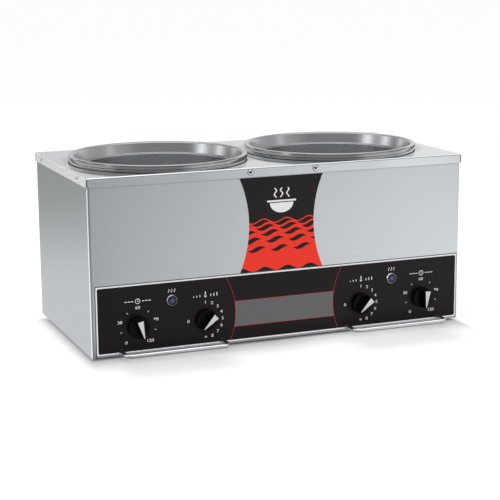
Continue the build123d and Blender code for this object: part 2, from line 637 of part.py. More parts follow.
# Controls: brackets on studs of the front sheet, with the shaft's bore in each body
for name, side in SIDES:
    x = PANEL_X + side * TEMPERATURE_X
    with BuildPart() as thermostat:
        with BuildSketch(facing_in(x, DIAL_LEVEL, INNER_FRONT)):
            RectangleRounded(THERMOSTAT_W + 2 * EAR_W, 2 * EAR_W, BODY_EDGE_R)
            with GridLocations(THERMOSTAT_W + EAR_W, 0, 2, 1):
                Circle(STUD_R + STUD_FIT, mode=Mode.SUBTRACT)
        extrude(amount=BRACKET_T)
        with BuildSketch(facing_in(x, DIAL_LEVEL, INNER_FRONT)):
            RectangleRounded(THERMOSTAT_W, THERMOSTAT_H, BODY_EDGE_R)
        extrude(amount=BRACKET_T + THERMOSTAT_DEPTH)
        with BuildSketch(Plane.XY.offset(DIAL_LEVEL + THERMOSTAT_H / 2)):
            with Locations((x, INNER_FRONT + BRACKET_T + THERMOSTAT_DEPTH / 2)):
                with GridLocations(TAB_PITCH, 0, 2, 1):
                    Rectangle(TAB_T, TAB_W)
        extrude(amount=TAB_L)
        with BuildSketch(facing_in(x, DIAL_LEVEL, INNER_FRONT)):
            Circle(SHAFT_R + SHAFT_FIT)
        extrude(amount=SHAFT_IN_CONTROL + KNOB_LIFT, mode=Mode.SUBTRACT)
    thermostat.part.label = f"{name}_thermostat"
    export_step(thermostat.part, f"parts/{name}_thermostat.step")

    # The bulb lies against the well's floor, and its capillary runs under the heater to the thermostat
    bulb_y = MID_Y + BULB_Y
    run_y = INNER_FRONT + BRACKET_T + THERMOSTAT_DEPTH / 2
    well_x = side * WELL_X
    level = BOTTOM + CAPILLARY_Z
    with BuildPart() as thermostat_bulb:
        with BuildSketch(Plane(origin=(well_x - side * BULB_L / 2, bulb_y, BULB_Z), z_dir=(side, 0, 0))):
            Circle(BULB_R)
        extrude(amount=BULB_L)
        with BuildLine() as capillary:
            FilletPolyline(
                (well_x + side * BULB_L / 2, bulb_y, BULB_Z),
                (well_x + side * BULB_END, bulb_y, BULB_Z),
                (well_x + side * BULB_END, bulb_y, level),
                (well_x + side * BULB_END, run_y, level),
                (x, run_y, level),
                (x, run_y, DIAL_LEVEL - THERMOSTAT_H / 2),
                radius=CAPILLARY_BEND_R,
            )
        with BuildSketch(capillary.line ^ 0):
            Circle(CAPILLARY_R)
        sweep(path=capillary.line)
    thermostat_bulb.part.label = f"{name}_thermostat_bulb"
    export_step(thermostat_bulb.part, f"parts/{name}_thermostat_bulb.step")

    x = PANEL_X + side * TIMER_X
    with BuildPart() as timer:
        with BuildSketch(facing_in(x, DIAL_LEVEL, INNER_FRONT)):
            RectangleRounded(TIMER_W + 2 * EAR_W, 2 * EAR_W, BODY_EDGE_R)
            with GridLocations(TIMER_W + EAR_W, 0, 2, 1):
                Circle(STUD_R + STUD_FIT, mode=Mode.SUBTRACT)
        extrude(amount=BRACKET_T)
        with BuildSketch(facing_in(x, DIAL_LEVEL, INNER_FRONT)):
            RectangleRounded(TIMER_W, TIMER_H, BODY_EDGE_R)
        extrude(amount=BRACKET_T + TIMER_DEPTH)
        with BuildSketch(facing_in(x, DIAL_LEVEL, INNER_FRONT + BRACKET_T + TIMER_DEPTH)):
            with GridLocations(TAB_PITCH, TAB_PITCH, 2, 2):
                Rectangle(TAB_T, TAB_W)
        extrude(amount=TAB_L)
        with BuildSketch(facing_in(x, DIAL_LEVEL, INNER_FRONT)):
            Circle(SHAFT_R + SHAFT_FIT)
        extrude(amount=SHAFT_IN_CONTROL + KNOB_LIFT, mode=Mode.SUBTRACT)
    timer.part.label = f"{name}_timer"
    export_step(timer.part, f"parts/{name}_timer.step")

nut_planes = [facing_in(x, DIAL_LEVEL, INNER_FRONT + BRACKET_T) for x in STUDS]
control_nuts = nuts(nut_planes, NUT_AF, NUT_T, STUD_R + STUD_FIT)
control_nuts.part.label = "control_nuts"
export_step(control_nuts.part, "parts/control_nuts.step")

# Knobs: a round skirt with a tapered grip across it, a pale pointer let into the grip, and a shaft
KNOB_BACK = OVERLAY_FACE - KNOB_LIFT
dials = [
    ("left_temperature", PANEL_X - TEMPERATURE_X, TEMPERATURE_REST),
    ("right_temperature", PANEL_X + TEMPERATURE_X, TEMPERATURE_REST),
    ("left_timer", PANEL_X - TIMER_X, LEFT_TIMER_REST),
    ("right_timer", PANEL_X + TIMER_X, RIGHT_TIMER_REST),
]
for name, x, rest in dials:
    across = Vector(1, 0, 0).rotate(Axis.Y, rest)
    knob_plane = Plane(origin=(x, KNOB_BACK, DIAL_LEVEL), x_dir=across, z_dir=(0, -1, 0))
    with BuildPart() as knob:
        with BuildSketch(knob_plane):
            Circle(KNOB_R)
        extrude(amount=SKIRT_H)
        fillet(knob.faces().sort_by(Axis.Y)[0].edges(), SKIRT_EDGE_R)
        with BuildSketch(knob_plane) as grip:
            with BuildLine():
                Polyline(*wedge(GRIP_WIDE, GRIP_NARROW, GRIP_L), close=True)
            make_face()
            fillet(grip.vertices(), GRIP_EDGE_R)
        extrude(amount=KNOB_H)
        with BuildSketch(knob_plane.offset(KNOB_H)):
            with BuildLine():
                Polyline(*wedge(POINTER_WIDE, POINTER_NARROW, POINTER_L), close=True)
            make_face()
        extrude(amount=-POINTER_T, mode=Mode.SUBTRACT)
        with BuildSketch(knob_plane):
            Circle(SHAFT_R + SHAFT_FIT)
            with Locations((0, SHAFT_R + SHAFT_FIT)):
                Rectangle(2 * KNOB_R, 2 * SHAFT_FLAT, mode=Mode.SUBTRACT)
        extrude(amount=SHAFT_IN_KNOB, mode=Mode.SUBTRACT)
    knob.part.label = f"{name}_knob"
    export_step(knob.part, f"parts/{name}_knob.step")

    with BuildPart() as pointer:
        with BuildSketch(knob_plane.offset(KNOB_H - POINTER_T)):
            with BuildLine():
                Polyline(*wedge(POINTER_WIDE, POINTER_NARROW, POINTER_L), close=True)
            make_face()
        extrude(amount=POINTER_T)
    pointer.part.label = f"{name}_pointer"
    export_step(pointer.part, f"parts/{name}_pointer.step")

    with BuildPart() as shaft:
        with BuildSketch(knob_plane):
            Circle(SHAFT_R)
            with Locations((0, SHAFT_R + SHAFT_FIT)):
                Rectangle(2 * KNOB_R, 2 * SHAFT_FLAT, mode=Mode.SUBTRACT)
        extrude(amount=SHAFT_IN_KNOB)
        with BuildSketch(knob_plane):
            Circle(SHAFT_R)
        extrude(amount=-(KNOB_LIFT + FACE + SHEET + SHAFT_IN_CONTROL))
    shaft.part.label = f"{name}_shaft"
    export_step(shaft.part, f"parts/{name}_shaft.step")

# Indicator lamps: bezel with its threaded tube, domed lens, lamp body and nut
for name, side in SIDES:
    lamp_face = facing_front(PANEL_X + side * PAIR_X, LAMP_LEVEL, OVERLAY_FACE)
    tube_back = FACE + SHEET + LAMP_TUBE_L
    with BuildPart() as lamp_bezel:
        with BuildSketch(lamp_face):
            Circle(BEZEL_R)
        extrude(amount=BEZEL_T)
        fillet(lamp_bezel.faces().sort_by(Axis.Y)[0].edges(), BEZEL_EDGE_R)
        with BuildSketch(lamp_face):
            Circle(LAMP_TUBE_R)
        extrude(amount=-tube_back)
        with BuildSketch(lamp_face.offset(BEZEL_T)):
            Circle(LAMP_BORE_R)
        extrude(amount=-(BEZEL_T + tube_back), mode=Mode.SUBTRACT)
    lamp_bezel.part.label = f"{name}_lamp_bezel"
    export_step(lamp_bezel.part, f"parts/{name}_lamp_bezel.step")

    with BuildPart() as lamp_lens:
        with BuildSketch(lamp_face.offset(BEZEL_T - LENS_T)):
            Circle(LAMP_BORE_R - LAMP_FIT)
        extrude(amount=LENS_T + LENS_DOME)
        fillet(lamp_lens.faces().sort_by(Axis.Y)[0].edges(), LENS_DOME)
    lamp_lens.part.label = f"{name}_lamp_lens"
    export_step(lamp_lens.part, f"parts/{name}_lamp_lens.step")

    with BuildPart() as lamp_body:
        with BuildSketch(lamp_face.offset(BEZEL_T - LENS_T)):
            Circle(LAMP_BORE_R - LAMP_FIT)
        extrude(amount=-(tube_back + BEZEL_T - LENS_T))
        with BuildSketch(lamp_face.offset(-tube_back)):
            Circle(LAMP_TUBE_R)
        extrude(amount=-LAMP_CAP_L)
        with BuildSketch(lamp_face.offset(-tube_back - LAMP_CAP_L)):
            with GridLocations(LAMP_BORE_R, 0, 2, 1):
                Rectangle(TAB_T, LAMP_BORE_R)
        extrude(amount=-TAB_L)
    lamp_body.part.label = f"{name}_lamp_body"
    export_step(lamp_body.part, f"parts/{name}_lamp_body.step")

nut_planes = [facing_in(x, LAMP_LEVEL, INNER_FRONT) for x in PAIRS]
lamp_nuts = nuts(nut_planes, LAMP_NUT_AF, LAMP_NUT_T, LAMP_HOLE_R)
lamp_nuts.part.label = "lamp_nuts"
export_step(lamp_nuts.part, "parts/lamp_nuts.step")

# Wire guards: one bent rod below each pair of knobs, strapped down to the base plate
for name, guard_x in GUARDS:
    low_x = guard_x - GUARD_L / 2
    high_x = low_x + GUARD_L
    with BuildPart() as knob_guard:
        with BuildLine() as rod:
            FilletPolyline(
                (low_x, FRONT + GUARD_LEG_IN, ROD_LEVEL),
                (low_x, FRONT - GUARD_REACH, ROD_LEVEL),
                (high_x, FRONT - GUARD_REACH, ROD_LEVEL),
                (high_x, FRONT + GUARD_LEG_IN, ROD_LEVEL),
                radius=GUARD_BEND_R,
            )
        with BuildSketch(rod.line ^ 0):
            Circle(ROD_R)
        sweep(path=rod.line)
    knob_guard.part.label = f"{name}_knob_guard"
    export_step(knob_guard.part, f"parts/{name}_knob_guard.step")

STRAP_R = ROD_R + ROD_LIFT
STRAP_HALF = STRAP_EAR + SCREW_HEAD_R
with BuildPart() as guard_straps:
    for x in GUARD_LEGS:
        with BuildSketch(facing_in(x, BASE_TOP, FRONT + STRAP_IN - STRAP_W / 2)):
            with Locations((0, STRAP_T / 2)):
                Rectangle(2 * STRAP_HALF, STRAP_T)
            with Locations((0, STRAP_R)):
                Circle(STRAP_R + STRAP_T)
            with Locations((0, STRAP_R / 2)):
                Rectangle(2 * (STRAP_R + STRAP_T), STRAP_R)
                Rectangle(2 * STRAP_R, STRAP_R, mode=Mode.SUBTRACT)
            with Locations((0, STRAP_R)):
                Circle(STRAP_R, mode=Mode.SUBTRACT)
            with Locations((0, -STRAP_R)):
                Rectangle(4 * STRAP_HALF, 2 * STRAP_R, mode=Mode.SUBTRACT)
        extrude(amount=STRAP_W)
    for x, y in strap_places:
        with BuildSketch(Plane(origin=(x, y, BASE_TOP))):
            Circle(SCREW_HOLE_R)
        extrude(amount=STRAP_T, mode=Mode.SUBTRACT)
guard_straps.part.label = "guard_straps"
export_step(guard_straps.part, "parts/guard_straps.step")

strap_screws = screws(
    [Plane(origin=(x, y, BASE_TOP + STRAP_T)) for x, y in strap_places], SCREW_HEAD_R, STRAP_T + 2 * SHEET
)
strap_screws.part.label = "strap_screws"
export_step(strap_screws.part, "parts/strap_screws.step")

# Mains entry: terminal block on the base, cable gland in the back with its lock nut
with BuildPart() as terminal_block:
    with BuildSketch(Plane.XY.offset(BASE_TOP)):
        with Locations((GLAND_X, BLOCK_Y)):
            RectangleRounded(BLOCK_W, BLOCK_D, BODY_EDGE_R)
        with Locations(*block_places):
            Circle(SCREW_HOLE_R, mode=Mode.SUBTRACT)
    extrude(amount=BLOCK_H)
    with BuildSketch(Plane.XY.offset(BASE_TOP + BLOCK_H)):
        with Locations((GLAND_X, BLOCK_Y)):
            with GridLocations(BLOCK_WAY_PITCH, 0, BLOCK_WAYS, 1):
                Rectangle(BLOCK_WAY_W, BLOCK_D - 2 * BLOCK_WALL)
    extrude(amount=-BLOCK_WAY_DEPTH, mode=Mode.SUBTRACT)
terminal_block.part.label = "terminal_block"
export_step(terminal_block.part, "parts/terminal_block.step")

block_screws = screws(
    [Plane(origin=(x, y, BASE_TOP + BLOCK_H)) for x, y in block_places], SCREW_HEAD_R, BLOCK_H + 2 * SHEET
)
block_screws.part.label = "block_screws"
export_step(block_screws.part, "parts/block_screws.step")

gland_face = facing_in(GLAND_X, GLAND_LEVEL, BACK)
with BuildPart() as cord_gland:
    with BuildSketch(gland_face):
        RegularPolygon(GLAND_AF / 2, 6, major_radius=False)
    extrude(amount=GLAND_HEX_T)
    with BuildSketch(gland_face.offset(GLAND_HEX_T)):
        Circle(GLAND_AF / 2)
    extrude(amount=GLAND_DOME_L, taper=GLAND_DOME_TAPER)
    with BuildSketch(gland_face):
        Circle(GLAND_TUBE_R)
    extrude(amount=-(SHEET + GLAND_INSIDE_L))
    with BuildSketch(gland_face.offset(GLAND_HEX_T + GLAND_DOME_L)):
        Circle(GLAND_BORE_R)
    extrude(amount=-(GLAND_HEX_T + GLAND_DOME_L + SHEET + GLAND_INSIDE_L), mode=Mode.SUBTRACT)
cord_gland.part.label = "cord_gland"
export_step(cord_gland.part, "parts/cord_gland.step")

gland_nut = nuts(
    [facing_front(GLAND_X, GLAND_LEVEL, BACK - SHEET)], GLAND_AF, GLAND_NUT_T, GLAND_TUBE_R + GLAND_FIT
)
gland_nut.part.label = "gland_nut"
export_step(gland_nut.part, "parts/gland_nut.step")

# Rubber feet under the base plate, each with a recess for its screw
with BuildPart() as rubber_feet:
    for x, y in FEET:
        with BuildSketch(Plane(origin=(x, y, BASE_LOW))):
            Circle(FOOT_R)
        with BuildSketch(Plane(origin=(x, y, 0))):
            Circle(FOOT_R - FOOT_TAPER)
        loft()
        with BuildSketch(Plane(origin=(x, y, 0))):
            Circle(FOOT_SCREW_HEAD_R + SCREW_FIT)
        extrude(amount=FOOT_RECESS, mode=Mode.SUBTRACT)
        with BuildSketch(Plane(origin=(x, y, 0))):
            Circle(SCREW_HOLE_R)
        extrude(amount=BASE_LOW, mode=Mode.SUBTRACT)
rubber_feet.part.label = "rubber_feet"
export_step(rubber_feet.part, "parts/rubber_feet.step")

foot_screws = screws(
    [under(x, y, FOOT_RECESS) for x, y in FEET], FOOT_SCREW_HEAD_R, BASE_TOP - FOOT_RECESS + SCREW_SPARE
)
foot_screws.part.label = "foot_screws"
export_step(foot_screws.part, "parts/foot_screws.step")

# Screws of the casing
deck_screws = screws(apron_planes, SCREW_HEAD_R, APRON_GRIP + SCREW_SPARE)
deck_screws.part.label = "deck_screws"
export_step(deck_screws.part, "parts/deck_screws.step")

back_screws = screws(back_planes, SCREW_HEAD_R, 2 * SHEET + SCREW_SPARE)
back_screws.part.label = "back_screws"
export_step(back_screws.part, "parts/back_screws.step")

base_screws = screws([under(x, y, BOTTOM) for x, y in base_places], SCREW_HEAD_R, 2 * SHEET + SCREW_SPARE)
base_screws.part.label = "base_screws"
export_step(base_screws.part, "parts/base_screws.step")
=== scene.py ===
import bpy
from math import cos, hypot, pi, radians, sin, sqrt
from mathutils import Matrix, Vector


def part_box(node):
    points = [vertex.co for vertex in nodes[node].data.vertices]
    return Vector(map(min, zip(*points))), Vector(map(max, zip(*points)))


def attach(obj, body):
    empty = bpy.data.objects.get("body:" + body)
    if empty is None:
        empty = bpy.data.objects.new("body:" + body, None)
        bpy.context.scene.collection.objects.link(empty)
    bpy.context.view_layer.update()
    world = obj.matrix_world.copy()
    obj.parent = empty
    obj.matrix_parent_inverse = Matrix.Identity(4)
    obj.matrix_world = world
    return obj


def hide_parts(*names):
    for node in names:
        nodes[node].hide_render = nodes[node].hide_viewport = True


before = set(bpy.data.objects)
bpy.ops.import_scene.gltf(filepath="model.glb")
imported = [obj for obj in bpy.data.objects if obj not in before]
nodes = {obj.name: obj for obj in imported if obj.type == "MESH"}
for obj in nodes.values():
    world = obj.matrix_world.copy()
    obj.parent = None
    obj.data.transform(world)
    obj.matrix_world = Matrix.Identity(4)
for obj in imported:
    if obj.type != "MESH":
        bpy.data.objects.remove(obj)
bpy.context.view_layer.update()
MM = 0.001

# Camera, solved from the deck's corners and both rims in the photo.
# It stands a little to the left of the front and looks slightly down.
LENS, SENSOR = 103.36, 36.0  # the lens's focal length and the sensor's width, in millimetres
SIGHT = 60.0  # how far it sees
CAMERA_YAW = radians(21.876)
CAMERA_PITCH = radians(11.792)
CAMERA_ROLL = radians(-0.418)
CAMERA_FROM_CASE = Vector((-0.7471, -1.8746, 0.5172))  # from the middle of the casing's bottom
case_low, case_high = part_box("wrapper")
back_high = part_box("back_panel")[1]
case_middle = Vector((0, (case_low.y + back_high.y) / 2, case_low.z))
lens = bpy.data.cameras.new("camera")
lens.lens = LENS
lens.sensor_width = SENSOR
lens.clip_end = SIGHT
camera = bpy.data.objects.new("camera", lens)
bpy.context.scene.collection.objects.link(camera)
turned_to_case = Matrix.Rotation(-CAMERA_YAW, 4, "Z") @ Matrix.Rotation(pi / 2 - CAMERA_PITCH, 4, "X")
turned_to_case = turned_to_case @ Matrix.Rotation(CAMERA_ROLL, 4, "Z")
camera.matrix_world = Matrix.Translation(case_middle + CAMERA_FROM_CASE) @ turned_to_case
bpy.context.scene.camera = camera
bpy.context.scene.view_settings.view_transform = "Standard"


# Studio: a pale floor that goes on past the view, a room that is bright behind the warmer and dim in front,
# and one soft lamp above. What the steel mirrors of the floor is brighter to the right, dim towards the
# camera and bright again to the left, as under a large lamp with a card on each side.
class Shade:
    """One value in a material's nodes. Arithmetic on it adds Math nodes."""

    def __init__(self, finish, socket):
        self.finish = finish
        self.socket = socket

    def math(self, operation, first, second=0.0):
        return self.finish.node("ShaderNodeMath", {"operation": operation}, {0: first, 1: second})

    def __add__(self, other):
        return self.math("ADD", self, other)

    def __radd__(self, other):
        return self.math("ADD", other, self)

    def __sub__(self, other):
        return self.math("SUBTRACT", self, other)

    def __rsub__(self, other):
        return self.math("SUBTRACT", other, self)

    def __mul__(self, other):
        return self.math("MULTIPLY", self, other)

    def __rmul__(self, other):
        return self.math("MULTIPLY", other, self)

    def __truediv__(self, other):
        return self.math("DIVIDE", self, other)

    def __abs__(self):
        return self.math("ABSOLUTE", self)

    def sine(self):
        return self.math("SINE", self)

    def root(self):
        return self.math("SQRT", self)

    def angle(self, other):
        return self.math("ARCTAN2", self, other)

    def most(self, other):
        return self.math("MAXIMUM", self, other)

    def spread(self, low, high, first=0.0, last=1.0):
        """Goes smoothly from first to last as the value goes from low to high."""
        return self.finish.node(
            "ShaderNodeMapRange",
            {"interpolation_type": "SMOOTHSTEP"},
            {"Value": self, "From Min": low, "From Max": high, "To Min": first, "To Max": last},
        )

    def within(self, half, soft):
        """1 where the value is nearer to 0 than half, with a soft edge."""
        return abs(self).spread(half - soft / 2, half + soft / 2, 1, 0)


class Finish:
    """The nodes of one material, or of the world."""

    def __init__(self, name, owner=None):
        self.material = owner or bpy.data.materials.new(name)
        self.material.use_nodes = True
        self.tree = self.material.node_tree

    def node(self, kind, settings=None, sockets=None, out=0):
        made = self.tree.nodes.new(kind)
        for key, value in (settings or {}).items():
            setattr(made, key, value)
        for key, value in (sockets or {}).items():
            self.join(value, made.inputs[key])
        return Shade(self, made.outputs[out])

    def join(self, value, socket):
        if isinstance(value, Shade):
            self.tree.links.new(value.socket, socket)
        else:
            socket.default_value = value

    def surface(self, sockets):
        """Sets the sockets of the material's own shader."""
        shader = self.tree.nodes["Principled BSDF"]
        for key, value in sockets.items():
            self.join(value, shader.inputs[key])
        return self.material

    def place(self):
        """The three object coordinates, in metres."""
        point = self.node("ShaderNodeTexCoord", out="Object")
        return [self.node("ShaderNodeSeparateXYZ", None, {0: point}, out=axis) for axis in "XYZ"]

    def rays(self):
        """Three values, each 1 for one kind of ray: seen by the camera, mirrored, and through glass."""
        kinds = ("Camera", "Glossy", "Transmission")
        return [self.node("ShaderNodeLightPath", out=f"Is {kind} Ray") for kind in kinds]

    def noise(self, x, y, z, detail=2.0, roughness=0.5):
        point = self.node("ShaderNodeCombineXYZ", None, {"X": x, "Y": y, "Z": z})
        sockets = {"Vector": point, "Scale": 1.0, "Detail": detail, "Roughness": roughness}
        return self.node("ShaderNodeTexNoise", None, sockets)

    def specks(self, place, marks, detail=2.0, roughness=0.5):
        """Noise with the same number of marks a metre every way."""
        return self.noise(*[axis * marks for axis in place], detail, roughness)

    def scaled(self, colour, tone):
        """A colour made lighter or darker."""
        return self.node("ShaderNodeVectorMath", {"operation": "SCALE"}, {0: colour, "Scale": tone})

    def mix(self, factor, first, second):
        """A colour between two colours."""
        return self.node("ShaderNodeMix", {"data_type": "RGBA"}, {0: factor, 6: first, 7: second}, out=2)

    def bump(self, height, distance, strength):
        sockets = {"Height": height, "Distance": distance, "Strength": strength}
        return self.node("ShaderNodeBump", None, sockets)


def grey(level):
    return (level, level, level, 1)


def deselect():
    bpy.ops.object.select_all(action="DESELECT")


SIDES = ("left", "right")
FLOOR_SIZE = 60.0
FLOOR_DIFFUSE = 0.26
FLOOR_SEEN, FLOOR_BOUNCE = 0.80, 0.45  # what it adds to the view, and what it sends back to matt pieces
LEFT_FADE, RIGHT_FADE = 3.6, 6.0  # how much faster the casing's painted shadow on the floor fades at its sides than in front
BACK_INSIDE, RIGHT_INSIDE = 0.030, 0.005  # how far inside the casing's back and right side it starts to fade
SHADE_FADE = (-0.055, 0.075)  # where in front of the casing the painted shadow starts to fade, and where it ends
EDGE_FADE = (-0.012, 0.003)  # the same for the painted dark under the casing
EARLY_BY, EARLY_LEFT, EARLY_RIGHT = 0.012, (-0.02, 0.06), (0.12, 0.24)  # how much sooner it ends, and where
GUARD_SHADE, GUARD_SHADE_LEFT, GUARD_SHADE_SOFT = 0.24, 0.010, 0.05  # a guard's shadow, painted on the floor
GUARD_SHADE_FROM, GUARD_SHADE_TO = (0.02, 0.05), (0.07, 0.12)  # how far in front of the casing it lies
corner_x, corner_y = case_low.x, case_low.y  # the casing's front left corner
deselect()
bpy.ops.mesh.primitive_plane_add(size=FLOOR_SIZE, location=(0, 0, 0))
floor = bpy.context.active_object
floor.name = "floor"
pale_floor = Finish("pale_floor")
floor_x, floor_y = pale_floor.place()[:2]
seen, mirrored, through = pale_floor.rays()
reach = (floor_x * floor_x + floor_y * floor_y).root()
ahead, left_of, right_of = corner_y - floor_y, corner_x - floor_x, floor_x - case_high.x
past_end = ahead.most((floor_y - back_high.y + BACK_INSIDE) * LEFT_FADE)
past_side = (left_of * LEFT_FADE).most((right_of + RIGHT_INSIDE) * RIGHT_FADE).most(0.0)
past = (past_side * past_side + past_end.most(0.0) * past_end.most(0.0)).root()
early = floor_x.spread(*EARLY_LEFT, 0, EARLY_BY) * floor_x.spread(*EARLY_RIGHT, 1, 0)
# Painted shadow: the casing's and the guards' shadows are painted into the light the floor sends to the
# camera, and the lamp adds a real shadow on top.
shade = (past + early).spread(*SHADE_FADE) * past_end.most(left_of).most(right_of).spread(*EDGE_FADE)
for side in SIDES:
    guard_low, guard_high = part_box(f"{side}_knob_guard")
    from_guard = floor_x - (guard_low.x + guard_high.x) / 2 + GUARD_SHADE_LEFT
    by_guard = from_guard.within((guard_high.x - guard_low.x) / 2, GUARD_SHADE_SOFT)
    in_shade = ahead.spread(*GUARD_SHADE_FROM) * ahead.spread(*GUARD_SHADE_TO, GUARD_SHADE, 0)
    shade = shade * (1 - by_guard * in_shade)

FRONT_EDGE, BACK_EDGE = (0.0, 0.35), (2.2, 2.9)  # zones' edges, as directions from that corner in radians
CAMERA_EDGE, LEFT_EDGE = (-0.85, -0.6), (-2.45, -2.15)
FAR_OUT, CAMERA_LEAN, LEFT_LEAN = (0.6, 0.95), 1.0, 0.12  # far out, those two edges lie further back
ACROSS_GLOW = (-0.6, 0.5, 0.61, 1.27)  # from where to where, and how bright it is at each: across the view
NEAR_GLOW, FAR_GLOW = (-0.02, 0.13, 0.30, 1.0), (0.5, 1.1, 1.0, 1.08)  # in front of the casing
RIGHT_GLOW, BACK_GLOW = (0.65, 0.9, 1.0, 0.78), (0.40, 1.35, 0.83, 0.42)  # to its right and behind it
REACH_GLOW = (2.0, 3.4, 1.0, 0.45)  # all round
CAMERA_GLOW, LEFT_GLOW = 0.42, 1.5
toward = (floor_x - corner_x).angle(corner_y - floor_y)  # 0 straight ahead, negative to the left
across = floor_x * cos(CAMERA_YAW) + floor_y * sin(CAMERA_YAW)
behind = (floor_y - corner_y) * cos(CAMERA_YAW) - (floor_x - corner_x) * sin(CAMERA_YAW)
far_out = reach.spread(*FAR_OUT)
toward_camera, toward_left = toward + far_out * CAMERA_LEAN, toward + far_out * LEFT_LEAN
is_front = toward.spread(*FRONT_EDGE) * toward.spread(*BACK_EDGE, 1, 0)
is_camera = toward_camera.spread(*CAMERA_EDGE) * toward.spread(*FRONT_EDGE, 1, 0)
is_left = toward_left.spread(*LEFT_EDGE) * toward_camera.spread(*CAMERA_EDGE, 1, 0)
is_back = toward_left.spread(*LEFT_EDGE, 1, 0).most(toward.spread(*BACK_EDGE))
in_front = across.spread(*ACROSS_GLOW) * ahead.spread(*NEAR_GLOW)
in_front = in_front * ahead.spread(*FAR_GLOW) * right_of.spread(*RIGHT_GLOW)
in_back = behind.spread(*BACK_GLOW)
glow = is_front * in_front + is_camera * CAMERA_GLOW + is_left * LEFT_GLOW + is_back * in_back
glow = glow * reach.spread(*REACH_GLOW)
matted = 1 - seen - mirrored - through
level = seen * shade * FLOOR_SEEN + (mirrored + through) * glow + matted * FLOOR_BOUNCE
matt = pale_floor.mix(mirrored, grey(FLOOR_DIFFUSE), grey(0))
lit = pale_floor.node("ShaderNodeBsdfDiffuse", None, {"Color": matt})
white = pale_floor.node("ShaderNodeEmission", None, {"Color": grey(1.0), "Strength": level})
both = pale_floor.node("ShaderNodeAddShader", None, {0: lit, 1: white})
pale_floor.join(both, pale_floor.tree.nodes["Material Output"].inputs["Surface"])
floor.data.materials.append(pale_floor.material)

CARDS = (  # degrees left of the camera, degrees up, half width in degrees, and brightness or, below 0, shade
    (63, 18, 9, 2.7), (96, 15, 7, 3.0), (130, 9, 7, 1.2), (-76, 15, 7, 1.0),
    (118, 14, 12, -0.50), (-118, 15, 14, -0.22),
)
CARD_SOFT = 3  # how many times as wide as its full bright part a card is
ONE_MIRROR = (1.2, 1.8)  # a card shows in one mirror, and not in a mirror's mirror
LEFT_WALL = (-1.35, -0.75, 0.48, 0.24)  # from bearing to bearing, and how bright the wall is at each
RIGHT_WALL = (0.50, 0.90, 0.24, 0.56)
REAR_WALL, REAR_FROM = (-0.2, 0.2, 0.76, 0.97), (0.1, 0.6)  # from left to right, and where it starts
UPPER_WALL, UPPER_FROM = 0.45, (0.34, 0.46)  # how bright it is, and how high it starts
CEILING, CEILING_FROM = 1.3, (0.60, 0.85)
FRONT_FILL, ROOM_FILL, FILL_FROM = 1.3, 0.40, (-0.8, 0.2)  # what lights matt pieces from in front and behind
room = Finish("room", bpy.data.worlds.new("room"))
bpy.context.scene.world = room.material
looking = room.node("ShaderNodeTexCoord", out="Generated")
look_x, look_y, look_z = [room.node("ShaderNodeSeparateXYZ", None, {0: looking}, out=axis) for axis in "XYZ"]
seen, mirrored, through = room.rays()
rearward = look_x * sin(CAMERA_YAW) + look_y * cos(CAMERA_YAW)
rightward = look_x * cos(CAMERA_YAW) - look_y * sin(CAMERA_YAW)
bearing = rightward.angle(0 - rearward)  # 0 towards the camera, positive to its right
walls = bearing.spread(*RIGHT_WALL).most(bearing.spread(*LEFT_WALL))
walls = walls + rearward.spread(*REAR_FROM) * (rightward.spread(*REAR_WALL) - walls)
walls = walls + look_z.spread(*UPPER_FROM) * (UPPER_WALL - walls)
walls = walls + look_z.spread(*CEILING_FROM) * (CEILING - walls)
mirrored_once = room.node("ShaderNodeLightPath", out="Glossy Depth").spread(*ONE_MIRROR, 1, 0)
for left, up, half, bright in CARDS:
    heading = -pi / 2 - CAMERA_YAW - radians(left)
    toward_card = (cos(heading) * cos(radians(up)), sin(heading) * cos(radians(up)), sin(radians(up)))
    facing_card = look_x * toward_card[0] + look_y * toward_card[1] + look_z * toward_card[2]
    card = facing_card.spread(cos(radians(half)), cos(radians(half / CARD_SOFT)), 0, bright)
    walls = walls + card * mirrored_once
fill = rearward.spread(*FILL_FROM, FRONT_FILL, ROOM_FILL)
level = seen + (mirrored + through) * walls + (1 - seen - mirrored - through) * fill
backdrop = room.tree.nodes["Background"]
room.join(grey(1.0), backdrop.inputs["Color"])
room.join(level, backdrop.inputs["Strength"])

LAMP_SPOT, LAMP_AIM = Vector((-0.35, 0.25, 2.3)), Vector((0, 0, 0.15))  # the aim is from the casing's bottom
LAMP_SIZE, LAMP_WATTS = 1.6, 26
overhead = bpy.data.lights.new("overhead_lamp", "AREA")
overhead.energy = LAMP_WATTS
overhead.size = LAMP_SIZE
lamp_holder = bpy.data.objects.new("overhead_lamp", overhead)
bpy.context.scene.collection.objects.link(lamp_holder)
lamp_holder.location = LAMP_SPOT
lamp_holder.visible_glossy = False
lamp_holder.rotation_euler = (case_middle + LAMP_AIM - LAMP_SPOT).to_track_quat("-Z", "Y").to_euler()


# Casing: front and sides bent from one stainless sheet, with the back and the base screwed on.
# The sheet has a fine satin brush that runs level round the casing.
BRUSH_TONE, BAND_TONE = (0.2, 0.8, 0.965, 1.0), (0.3, 0.7, 0.985, 1.0)  # the tone of marks and of bands
BRUSH_DULL, SMUDGE_DULL = 0.08, 0.05
MARKS_A_BAND, SMUDGES = 5, 6  # the smudges are counted along a metre
BRUSH_DEPTH = 0.006 * MM


